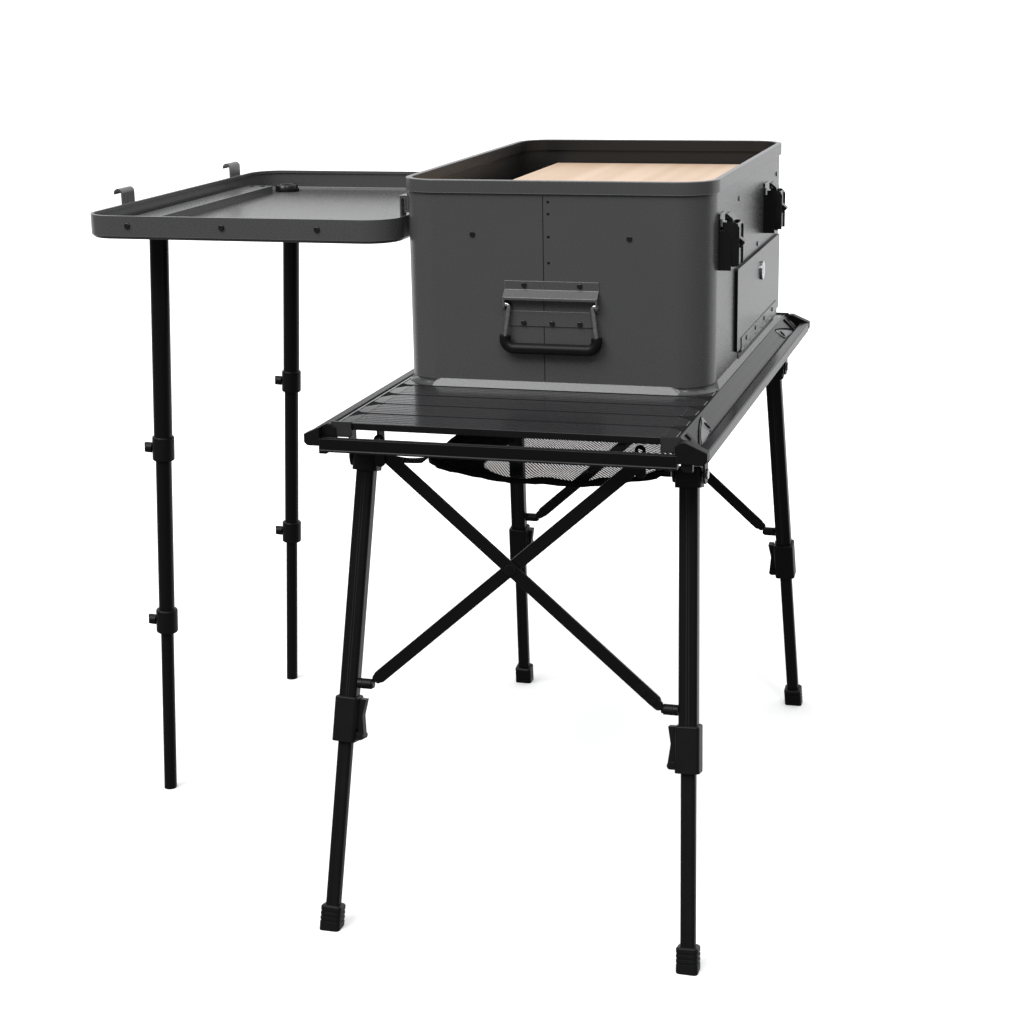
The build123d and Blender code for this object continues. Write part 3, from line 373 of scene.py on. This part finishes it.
def close_up(name, work, body, slot, *finishes, edge=0.0, sharp=sharp_corner):
    """Finish a piece built up from plates, heads and rings: face it outwards, break its edges, place it."""
    bmesh.ops.recalc_face_normals(work, faces=work.faces)
    if edge:
        break_edges(work, edge, sharp, held_back=True)
    mesh = bpy.data.meshes.new(name)
    work.to_mesh(mesh)
    work.free()
    smooth(mesh, sharp)
    return place(name, mesh, body, slot, *finishes)


# Painted shade: black sheets over the gaps and the notches between slats.
gap_shade_black = finish("gap_shade_black", (0.015, 0.015, 0.016), 0.8, gloss=0.05)
vary(gap_shade_black, grain(gap_shade_black, 90), (0.012, 0.012, 0.0125), (0.018, 0.018, 0.0185),
     grain(gap_shade_black, 900), 0.8, 0.9)
slats, pitch, deck_top = 15, 56.1, 646.0
notch = ((184, -1.6), (194, -7), (203.5, -19), (203.5, 9), (194, 2.4), (184, 1))
gap_shade_line = ((-186, -3.4), (186, -3.4), (186, 0.9), (-186, 0.9))
work = bmesh.new()
for n in range(1, slats):
    joint = n * pitch - slats * pitch / 2
    for side in (-1, 1):
        slab(work, [at(side * x, joint + y, deck_top) for x, y in notch], Z * 0.0004)
    slab(work, [at(x, joint + y, deck_top) for x, y in gap_shade_line], Z * 0.00015)
close_up("slat_gap_shade", work, "table", "black_plastic", gap_shade_black)

# ======== side rails and outer bars ========
# Each long side has an extruded rail with a ledge for the slats and a bevelled outer face, and a
# bar beside it for hanging tools. They are aluminium, drawn lengthwise, and alike; the left rail is
# painted pale grey as a painted reflection of the bright air, and the right one is left dark.
grey_rail = finish("grey_rail", (0.018, 0.018, 0.0195), 0.2, gloss=0.12)
drawn = grain(grey_rail, 420, 3, (1, 0.006, 1))
vary(grey_rail, drawn, (0.014, 0.014, 0.015), (0.022, 0.022, 0.0235), drawn, 0.18, 0.26)
relief(grey_rail, drawn, 0.000008, 0.3)
# Painted reflection: a pale copy of the rails' aluminium for the left rail.
reflection_painted_rail = finish("reflection_painted_rail", (0.4, 0.4, 0.41), 0.24, metal=0.8)
reflection_painted_drawn = grain(reflection_painted_rail, 420, 3, (1, 0.006, 1))
vary(reflection_painted_rail, reflection_painted_drawn, (0.34, 0.34, 0.35), (0.46, 0.46, 0.47), reflection_painted_drawn, 0.2, 0.3)
dress("side_rails", "rail_grey", grey_rail, reflection_painted_rail, split=lambda low, high: int(high.x < middle))
dress("outer_bars", "rail_grey", grey_rail)

# ======== cross bars ========
# A dished bar closes each end of the frame. It is aluminium tube under black paint, and the
# broken edges of its two raised lips and its toe are painted a little brighter, partly rubbing and
# partly painted highlight.
frame_paint = finish("frame_paint", (0.006, 0.006, 0.0065), 0.34, gloss=0.22)
paint_skin = grain(frame_paint, 700, 2)
rubbed_and_highlit = step(frame_paint, "Attribute", {"attribute_name": "wear_and_highlight"}).outputs["Fac"]
# Painted highlight and wear: broken edges are painted lighter than the paint.
vary(frame_paint, rubbed_and_highlit, (0.005, 0.005, 0.0055), (0.035, 0.035, 0.037), paint_skin, 0.3, 0.4)
relief(frame_paint, paint_skin, 0.00005, 0.35)
dress("cross_bars", "frame_black", frame_paint)

# ======== corner castings ========
# A black moulded wedge with a chamfered lug sits at each corner, and seats the rail, the outer bar
# and the end of the cross bar.
moulded_black = finish("moulded_black", (0.006, 0.006, 0.0065), 0.42, gloss=0.22)
pebble = grain(moulded_black, 1500, 1)
vary(moulded_black, grain(moulded_black, 40), (0.004, 0.004, 0.0045), (0.008, 0.008, 0.0085),
     pebble, 0.36, 0.5)
relief(moulded_black, pebble, 0.00012, 0.5)
dress("corner_castings", "black_plastic", moulded_black, edge=0.8)

# ======== rail straps and corner fixings ========
# A moulded strap holds each corner to the rail. On the rail's slanting face lie a black curved strip,
# which is painted shade for the shadowed gap between the rail's face and the tongue, a bright tongue
# of bare metal under it, and a round disc with a glossy button in the middle.
dress("rail_straps", "black_plastic", moulded_black, edge=0.4)
gloss_black = finish("gloss_black", (0.005, 0.005, 0.0055), 0.2, gloss=0.5)
vary(gloss_black, grain(gloss_black, 30), (0.004, 0.004, 0.0045), (0.007, 0.007, 0.0075),
     grain(gloss_black, 300), 0.15, 0.27)
matt_black_and_gap_shade = finish("matt_black_and_gap_shade", (0.004, 0.004, 0.0042), 0.75, gloss=0.04)
vary(matt_black_and_gap_shade, grain(matt_black_and_gap_shade, 50), (0.003, 0.003, 0.0032), (0.005, 0.005, 0.0052),
     grain(matt_black_and_gap_shade, 1200), 0.68, 0.82)
bright_grey = finish("bright_grey", (0.22, 0.22, 0.23), 0.35, metal=0.5)
vary(bright_grey, grain(bright_grey, 80), (0.18, 0.18, 0.19), (0.26, 0.26, 0.27),
     grain(bright_grey, 500), 0.3, 0.42)


def skin(work, rings):
    """Faces between neighbouring rings of the same number of points."""
    return [
        work.faces.new((near[k - 1], near[k], far[k], far[k - 1]))
        for near, far in zip(rings, rings[1:]) for k in range(len(near))
    ]


def full_turn(sides):
    """Angles round a full turn."""
    return [2 * math.pi * k / sides for k in range(sides)]


def dome(work, foot, out, radius, height, index=0, sides=20):
    """A round domed head, its radius and height in millimetres."""
    out = Vector(out).normalized()
    across = out.orthogonal().normalized()
    along = out.cross(across)
    rings = []
    for k in range(5):
        slope = k / 5 * math.pi / 2
        rings.append([
            work.verts.new(
                foot + (across * math.cos(t) + along * math.sin(t)) * radius / 1000 * math.cos(slope)
                + out * height / 1000 * math.sin(slope)
            )
            for t in full_turn(sides)
        ])
    peak = work.verts.new(foot + out * height / 1000)
    made = [work.faces.new(rings[0][::-1])] + skin(work, rings)
    made += [work.faces.new((rings[-1][n - 1], rings[-1][n], peak)) for n in range(sides)]
    for face in made:
        face.material_index = index


ridge_x, slant = 206.4, 0.7071


def on_slope(side, end, along, down, lift=0.0):
    """A place on one rail's slanting face near one of its ends, in millimetres from its ridge."""
    spot = at(ridge_x + (down + lift) * slant, end * along, deck_top - (down - lift) * slant)
    return Vector((2 * middle - spot.x, spot.y, spot.z)) if side < 0 else spot


# Painted shade: the black strip stands for the shadowed gap beside the tongue.
shadow_gap_line = ((301, 4), (318, 6.5), (337, 10.5), (356, 15.5), (374, 20.5), (391, 25.5))
tongue = ((293, 6), (300, 4.5), (307, 8), (330, 12.5), (352, 18),
          (372, 25.5), (350, 25.5), (312, 22), (298, 15))
shadow_gap_half, shadow_gap_thick, disc_at = 5, 1.4, (308, 15.5)
matt, bright, glossy = 0, 1, 2
work = bmesh.new()
for side in (-1, 1):
    for end in (-1, 1):
        lower, upper = [
            [on_slope(side, end, y + s * shadow_gap_half, d + s * 1.0) for y, d in shadow_gap_line] for s in (-1, 1)
        ]
        lift = on_slope(side, end, 0, 0, shadow_gap_thick) - on_slope(side, end, 0, 0, 0)
        for n in range(len(shadow_gap_line) - 1):
            slab(work, [lower[n], lower[n + 1], upper[n + 1], upper[n]], lift, matt)
        slab(work, [on_slope(side, end, y, d) for y, d in tongue], lift * 0.5, bright)
        out = lift.normalized()
        foot = on_slope(side, end, *disc_at, 0.6)
        dome(work, foot, out, 8.0, 1.6, bright, 28)
        dome(work, foot + out * 0.0008, out, 5.6, 1.6, matt, 24)
        dome(work, foot + out * 0.0020, out, 2.4, 1.2, glossy, 16)
close_up("corner_fixings", work, "table", "black_plastic", matt_black_and_gap_shade, bright_grey, gloss_black)

# ======== leg brackets and pivot pins ========
# Folded steel brackets hang under the rails, painted black, and each leg turns on a bright pin
# with a head at both ends.
bright_steel = finish("bright_steel", (0.62, 0.62, 0.63), 0.25, metal=1.0)
turned = grain(bright_steel, 300, 2)
vary(bright_steel, turned, (0.5, 0.5, 0.51), (0.7, 0.7, 0.71), turned, 0.18, 0.34)


pin_widest = 0.0125


def is_pin(low, high):
    """The pins are the solids that are slim both along the table and upwards."""
    size = high - low
    return int(size.y < pin_widest and size.z < pin_widest)


dress("leg_brackets", "frame_black", frame_paint, bright_steel, split=is_pin)

# ======== legs ========
# Rounded rectangular aluminium tubes under satin black paint, a groove down each broad face. A
# moulded collar closes the top, a moulded clamp with its lever holds the lower tube, and the
# lower tube stands on a moulded foot.
foot_low = 0.002
for end in ("near", "far"):
    dress("upper_legs_" + end, "frame_black", frame_paint)
    dress("leg_fittings_" + end, "black_plastic", moulded_black, edge=0.6)
    for side in ("left", "right"):
        corner = end + "_" + side
        dress("lower_leg_" + corner, "frame_black", frame_paint, moulded_black,
              split=lambda low, high: int(low.z < foot_low))
        dress("clamp_lever_" + corner, "black_plastic", moulded_black, edge=0.6)

# ======== cross braces ========
# Two flat steel bars, painted black, cross between each pair of legs and are riveted where they
# meet. Moulded links at their ends turn on the legs' inner pins.
for end in ("near", "far"):
    dress("brace_bars_" + end, "frame_black", frame_paint, bright_steel, edge=0.3)
    dress("brace_links_" + end, "black_plastic", moulded_black, edge=0.3)

# ======== box shell and rim ========
# The body is bent and welded from aluminium sheet and covered with a fine grey-black powder coat,
# which shows as a soft grain. Its broken corners are painted much lighter, partly wear and partly
# painted highlight. Its foot turns out to a skirt, a folded rim stiffens the top, and a seam runs up
# the near face beside a row of dimples.
powder_coat = finish("powder_coat", (0.08, 0.08, 0.081), 0.26, gloss=0.62)
speck = grain(powder_coat, 900, 2)
cloud = grain(powder_coat, 5, 2)
edge_wear_and_highlight = step(powder_coat, "Attribute", {"attribute_name": "wear_and_highlight"}).outputs["Fac"]
new_coat = tint(powder_coat, cloud, (0.074, 0.074, 0.075), (0.088, 0.088, 0.089))
rubbed_and_highlit_coat = (0.24, 0.24, 0.24, 1)
# Painted highlight and wear: the broken corners get a much lighter coat colour.
worn_and_highlit_coat = step(powder_coat, "MixRGB", Fac=reckon(powder_coat, "MULTIPLY", edge_wear_and_highlight, 0.8),
                 Color1=new_coat, Color2=rubbed_and_highlit_coat)
feed(powder_coat, worn_and_highlit_coat.outputs[0], "Base Color")
feed(powder_coat, spread(powder_coat, speck, 0.22, 0.31), "Roughness")
relief(powder_coat, speck, 0.00015, 0.5)
# Painted shade: the faces that look into the box, and the rim's inner faces, get a much darker copy of the
# coat.
shaded_inner_coat = finish("shaded_inner_coat", (0.014, 0.014, 0.014), 0.42, gloss=0.3)
shaded_inner_speck = grain(shaded_inner_coat, 900, 2)
vary(shaded_inner_coat, grain(shaded_inner_coat, 5, 2), (0.012, 0.012, 0.012), (0.017, 0.017, 0.017),
     shaded_inner_speck, 0.36, 0.48)
relief(shaded_inner_coat, shaded_inner_speck, 0.00015, 0.4)
half_wide, half_long = (box_high.x - box_low.x) / 2, (box_high.y - box_low.y) / 2
box_centre = (box_low + box_high) / 2
corner_round = 0.045
foot_chamfer, skirt_reach, skirt_high, skin_deep = 0.0095, 0.0052, 0.0090, 0.0005


def outwards(point):
    """The way out of the box at a point of its side, and how far the point is inside the side."""
    x, y = point.x - box_centre.x, point.y - box_centre.y
    over_x, over_y = abs(x) - (half_wide - corner_round), abs(y) - (half_long - corner_round)
    if over_x > 0 and over_y > 0:
        out = Vector((math.copysign(over_x, x), math.copysign(over_y, y), 0))
        return out.normalized(), corner_round - out.length
    if over_x > over_y:
        return Vector((math.copysign(1, x), 0, 0)), corner_round - over_x
    return Vector((0, math.copysign(1, y), 0)), corner_round - over_y


def flare_foot(work):
    """The shell's foot turns out to a skirt that stands on the deck."""
    for vert in work.verts:
        out, inside = outwards(vert.co)
        if vert.co.z < box_low.z + skin_deep and inside < foot_chamfer:
            vert.co += out * (inside + skirt_reach)
        elif vert.co.z < box_low.z + foot_chamfer and inside < skin_deep:
            vert.co.z = box_low.z + skirt_high


def is_inside(face):
    """The faces that look into the box."""
    out, inside = outwards(face.calc_center_median())
    return int(inside > 0.001 and face.normal.dot(out) < 0.2)


def is_inside_rim(face):
    """The rim's faces that look into the box, without its top."""
    return is_inside(face) if face.normal.z < 0.5 else 0


dress("box_shell", "box_black", powder_coat, shaded_inner_coat, edge=0.25, reshape=flare_foot, facing=is_inside)
dress("box_rim", "box_black", powder_coat, shaded_inner_coat, edge=0.8, facing=is_inside_rim)
front = box_low.y * 1000
seam_left, seam_right, seam_foot, seam_top = -12.4, -11.6, 657, 890
work = bmesh.new()
slab(work, [at(seam_left, front, seam_foot), at(seam_right, front, seam_foot),
            at(seam_right, front, seam_top), at(seam_left, front, seam_top)], Y * -0.00035)
dimple_x, dimple_heights = -5.3, (882.7, 867.9, 839.4, 807.0, 775.0)
for height in dimple_heights:
    dome(work, at(dimple_x, front, height), -Y, 1.9, 0.5)
close_up("box_seam", work, "box", "box_black", moulded_black)

# ======== rivets and handles ========
# Dark rivets and screws hold the box's fittings. At each end a hooded pressed plate carries a bail
# of bright steel wire, which hangs down and has a black tube round its grip.
dark_rivet = finish("dark_rivet", (0.006, 0.006, 0.0065), 0.16, gloss=0.8)
feed(dark_rivet, spread(dark_rivet, grain(dark_rivet, 500), 0.12, 0.2), "Roughness")
dress("box_fasteners", "grey_steel", dark_rivet, edge=0)
dress("handle_plates", "box_black", powder_coat)
grip_high = 0.035
for end in ("near", "far"):
    dress("handle_bail_" + end, "grey_steel", bright_steel, moulded_black, edge=0,
          split=lambda low, high: int(high.z - low.z < grip_high))

# ======== door ========
# A coated sheet panel on the box's right side swings down on a piano hinge along its lower edge,
# with one leaf on the panel and one on the box. A bright quarter-turn lock holds it shut.
def is_door_edge(face):
    """The door's narrow faces, which are painted black as shade in the gap round the door."""
    return int(abs(face.normal.x) < 0.5)


dress("door_panel", "box_black", powder_coat, moulded_black, edge=0.3, facing=is_door_edge)
dress("door_hinge_fixed", "box_black", powder_coat, edge=0.1)
dress("door_hinge_leaf", "box_black", powder_coat, edge=0.1)
dress("door_lock", "bright_steel", bright_steel, edge=0.2)

# ======== draw latches ========
# Two draw latches sit above the door: each is a glossy black base, a pressed lever between two
# cheeks, and a claw that reaches up for the lid. A bright pin sits low on each lever, and a bright
# steel dome on its top is a painted highlight for the glint there.
dress("latch_bases", "box_black", gloss_black, edge=0.3)
for end in ("near", "far"):
    dress("latch_lever_" + end, "box_black", gloss_black, edge=0.3)
    dress("latch_claw_" + end, "bright_steel", gloss_black, edge=0.2)
work = bmesh.new()
for end in ("near", "far"):
    low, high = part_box("latch_lever_" + end)
    dome(work, Vector((low.x + 0.007, low.y, low.z + 0.006)), -Y, 3.0, 1.2)
    # Painted highlight: a bright dome for the glint on the lever's top.
    dome(work, Vector((low.x + 0.008, low.y + 0.004, high.z - 0.001)), Z - Y * 0.6, 2.2, 1.2)
close_up("latch_pins_and_glints", work, "box", "bright_steel", bright_steel)
cheek_back, cheek_thick = 0.0052, 0.0009
for end in ("near", "far"):
    low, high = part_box("latch_lever_" + end)
    face_x, foot_z = high.x - cheek_back, low.z + 0.001
    cheek = ((low.x, foot_z), (face_x, foot_z), (face_x, high.z - 0.006),
             (face_x - 0.005, high.z), (low.x, high.z))
    work = bmesh.new()
    for y, out in ((low.y + 0.0002, -cheek_thick), (high.y - 0.0002, cheek_thick)):
        slab(work, [Vector((x, y, z)) for x, z in cheek], Y * out)
    close_up("latch_cheeks_" + end, work, "latch_" + end, "box_black", gloss_black, edge=0.25)

# ======== serving board ========
# A board of glued bamboo strips with eased edges lies loose on two coated ledges inside the box.
# Two keepers on the box's side, coated like it, take the tray's hooks.
bamboo = finish("bamboo", (0.72, 0.55, 0.42), 0.45, gloss=0.4)
fibre = grain(bamboo, 500, 4, (1, 0.03, 1))
strip = grain(bamboo, 55, 0, (1, 0.01, 0.01))
vary(bamboo, strip, (0.58, 0.41, 0.275), (0.74, 0.565, 0.43), fibre, 0.4, 0.55)
relief(bamboo, fibre, 0.00008, 0.4)
dress("serving_board", "bamboo", bamboo, edge=1.2)
dress("board_ledges", "box_black", powder_coat)
dress("tray_keepers", "box_black", powder_coat)

# ======== side tray ========
# The box's lid turned over: a folded sheet pan, coated like the box, hooked to its side. A channel,
# two curled catches and two hooks are riveted to it, and a moulded ring stands on its floor.
for fitting in ("pan", "catches", "channel", "hooks"):
    dress("tray_" + fitting, "box_black", powder_coat)
dress("tray_fasteners", "grey_steel", dark_rivet, edge=0)
dress("pole_sockets", "black_plastic", moulded_black, edge=0.4)
tray_low, tray_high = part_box("tray_pan")
ring_at = Vector((tray_low.x + 0.062, tray_high.y - 0.040, tray_low.z + 0.0024))
ring_profile = ((0.0115, 0), (0.0115, 0.009), (0.0135, 0.0105),
                (0.0162, 0.0105), (0.0175, 0.009), (0.0185, 0))
work = bmesh.new()
rings = [
    [work.verts.new(ring_at + X * radius * math.cos(t) + Y * radius * math.sin(t) + Z * height)
     for t in full_turn(36)]
    for radius, height in ring_profile
]
skin(work, rings + rings[:1])
close_up("tray_ring", work, "tray", "black_plastic", gloss_black, sharp=50)
channel_low, channel_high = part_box("tray_channel")
channel_x, channel_top = (channel_low.x + channel_high.x) / 2, channel_high.z - 0.0001
work = bmesh.new()
for y in (channel_low.y + 0.008, channel_low.y + 0.020, channel_high.y - 0.020, channel_high.y - 0.008):
    dome(work, Vector((channel_x, y, channel_top)), Z, 2.4, 0.9)
close_up("channel_screws", work, "tray", "grey_steel", dark_rivet)

# ======== tray poles ========
# Two poles of black painted tube, each in three lengths that slide into one another, screw into
# the tray's sockets. Moulded collars close the tubes and thumb knobs clamp them.
collar_high = 0.05
for end in ("near", "far"):
    for node in ("pole_upper_", "pole_middle_", "pole_lower_"):
        dress(node + end, "frame_black", frame_paint, moulded_black, edge=0.3,
              split=lambda low, high: int(high.z - low.z < collar_high))
    for node in ("pole_knob_upper_", "pole_knob_lower_"):
        dress(node + end, "black_plastic", moulded_black, edge=0.4)

# ======== net ========
# A storage net hangs under the deck: fine knotted netting sewn into a broad border of black
# webbing with a rolled hem, tied from its corners to the leg brackets with short straps.
net_low, net_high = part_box("net_basket")
net_x0, net_x1 = (net_low.x - middle) * 1000, (net_high.x - middle) * 1000
net_y0, net_y1 = net_low.y * 1000, net_high.y * 1000
net_side, net_dip = net_high.z * 1000, (net_high.z - net_low.z) * 1000 - 3


def hung(x, y, lift=0.0):
    """A point of the hung cloth over a place of its flat outline, in millimetres, with its folds."""
    u, v = (x - net_x0) / (net_x1 - net_x0), (y - net_y0) / (net_y1 - net_y0)
    fall = 4 * u * (1 - u)
    fold = 2.2 * math.sin(x * 0.085 + y * 0.021) * fall + 1.4 * math.sin(x * 0.05 - y * 0.064 + 1.0) * fall
    pull = 5.0 * fall * (4 * v * (1 - v) - 0.6)
    return at(x, y, net_side - (net_dip - 3) * fall - max(pull, 0) * 0.5 + fold * 0.7 - 0.8 + lift)


def between(first, last, part, parts):
    """A flat point so many parts of the way from one point to another."""
    return tuple(a + (b - a) * part / parts for a, b in zip(first, last))


def loop_round(x0, x1, y0, y1, corner):
    """Points round a rectangle with rounded corners, the same number on each side."""
    corner_steps, straight_steps = 9, 26
    points = []
    for cx, cy, start in ((x1 - corner, y0 + corner, -90), (x1 - corner, y1 - corner, 0),
                          (x0 + corner, y1 - corner, 90), (x0 + corner, y0 + corner, 180)):
        angles = [math.radians(start + 90 * k / corner_steps) for k in range(corner_steps + 1)]
        rounded = [(cx + corner * math.cos(t), cy + corner * math.sin(t)) for t in angles]
        if points:
            points += [between(points[-1], rounded[0], k, straight_steps) for k in range(1, straight_steps)]
        points += rounded
    return points + [between(points[-1], points[0], k, straight_steps) for k in range(1, straight_steps)]


webbing = finish("webbing", (0.008, 0.008, 0.0085), 0.8, gloss=0.12)
weave_at = step(webbing, "TexCoord").outputs["Object"]
ribs = step(webbing, "TexWave", {"wave_type": "BANDS", "bands_direction": "DIAGONAL"}, Vector=weave_at,
            Scale=420.0, Distortion=1.5, Detail=2.0).outputs["Fac"]
vary(webbing, ribs, (0.005, 0.005, 0.0055), (0.014, 0.014, 0.015), ribs, 0.7, 0.9)
relief(webbing, ribs, 0.0002, 0.6)
net_thread = finish("net_thread", (0.01, 0.01, 0.011), 0.6, gloss=0.2)
vary(net_thread, grain(net_thread, 900), (0.006, 0.006, 0.007), (0.014, 0.014, 0.015),
     grain(net_thread, 2500), 0.5, 0.75)

# The border is one band of webbing with a rounded window, and flat threads cross the window at
# two slants and are caught under the band's inner edge.
window = (net_x0 + 66, net_x1 - 12, net_y0 + 14, net_y1 - 14)
outer = loop_round(net_x0 + 2, net_x1 - 2, net_y0 + 2, net_y1 - 2, 22)
inner = loop_round(*window, 34)
band_rows, under_band, thread_gap, thread_step = 5, 6, 4.4, 10.0
work = bmesh.new()
skin(work, [
    [work.verts.new(hung(*between(a, b, k, band_rows))) for a, b in zip(outer, inner)]
    for k in range(band_rows + 1)
])
x0, x1 = window[0] - under_band, window[1] + under_band
y0, y1 = window[2] - under_band, window[3] + under_band
reach = y1 - y0
for lean, thread in ((-0.65, 3.2), (0.85, 1.5)):
    start = x0 - reach
    while start < x1 + reach:
        run = [
            (start + lean * k * thread_step, y0 + k * thread_step)
            for k in range(int(reach / thread_step) + 1)
        ]
        pairs = [
            [work.verts.new(hung(x + aside, y, 0.3 - 0.15 * lean)) for aside in (-thread / 2, thread / 2)]
            for x, y in run if x0 <= x <= x1
        ]
        for (a, b), (c, d) in zip(pairs, pairs[1:]):
            work.faces.new((a, b, d, c)).material_index = 1
        start += thread_gap
mesh = bpy.data.meshes.new("net_cloth")
work.to_mesh(mesh)
work.free()
smooth(mesh, 60)
cloth = place("net_cloth", mesh, "table", "net_fabric", webbing, net_thread)
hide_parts("net_basket")

# The hem is the border's outer edge rolled over and stitched, thicker in some places than others.
hem_half_wide, hem_half_high, hem_drop, hem_sides = 0.0016, 0.0042, 0.0012, 10
work = bmesh.new()
rings = []
for n, (x, y) in enumerate(outer):
    before, after = outer[n - 1], outer[(n + 1) % len(outer)]
    side = Vector((after[1] - before[1], before[0] - after[0], 0)).normalized()
    swell = 1 + 0.22 * math.sin(n * 0.9) + 0.12 * math.sin(n * 2.3 + 1)
    foot = hung(x, y)
    rings.append([
        work.verts.new(foot + side * hem_half_wide * math.cos(t) * swell
                       + Z * (hem_half_high * math.sin(t) * swell - hem_drop))
        for t in full_turn(hem_sides)
    ])
skin(work, rings[-1:] + rings)
hem = close_up("net_hem", work, "table", "net_fabric", webbing, sharp=80)

# Each strap is a short length of webbing that sags a little and is widest at its sewn ends.
tie_low, tie_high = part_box("net_ties")
strap_runs = (((tie_low.x - middle) * 1000, net_x0 + 5), (net_x1 - 5, (tie_high.x - middle) * 1000))
strap_y, strap_steps, strap_thick = tie_high.y * 1000 - 15, 8, 1.3
work = bmesh.new()
for x_from, x_to in strap_runs:
    for end in (-1, 1):
        rings = []
        for k in range(strap_steps + 1):
            t = k / strap_steps
            x = x_from + (x_to - x_from) * t
            z = net_side + 1.2 - 1.6 * math.sin(math.pi * t)
            wide = 11 + 2.5 * math.cos(math.pi * t) ** 2
            rings.append([
                work.verts.new(at(x, end * strap_y + s * wide, z + lift))
                for s, lift in ((-1, 0), (1, 0), (1, strap_thick), (-1, strap_thick))
            ])
        work.faces.new(rings[0])
        work.faces.new(rings[-1][::-1])
        skin(work, rings)
straps = close_up("net_straps", work, "table", "net_fabric", webbing, edge=0.2)
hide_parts("net_ties")
for soft in (cloth, hem):
    tuple(at(0, 0, net_side))
    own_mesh(soft)

[[[float(c) for c in corner] for corner in box] for box in (cad_box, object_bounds())]
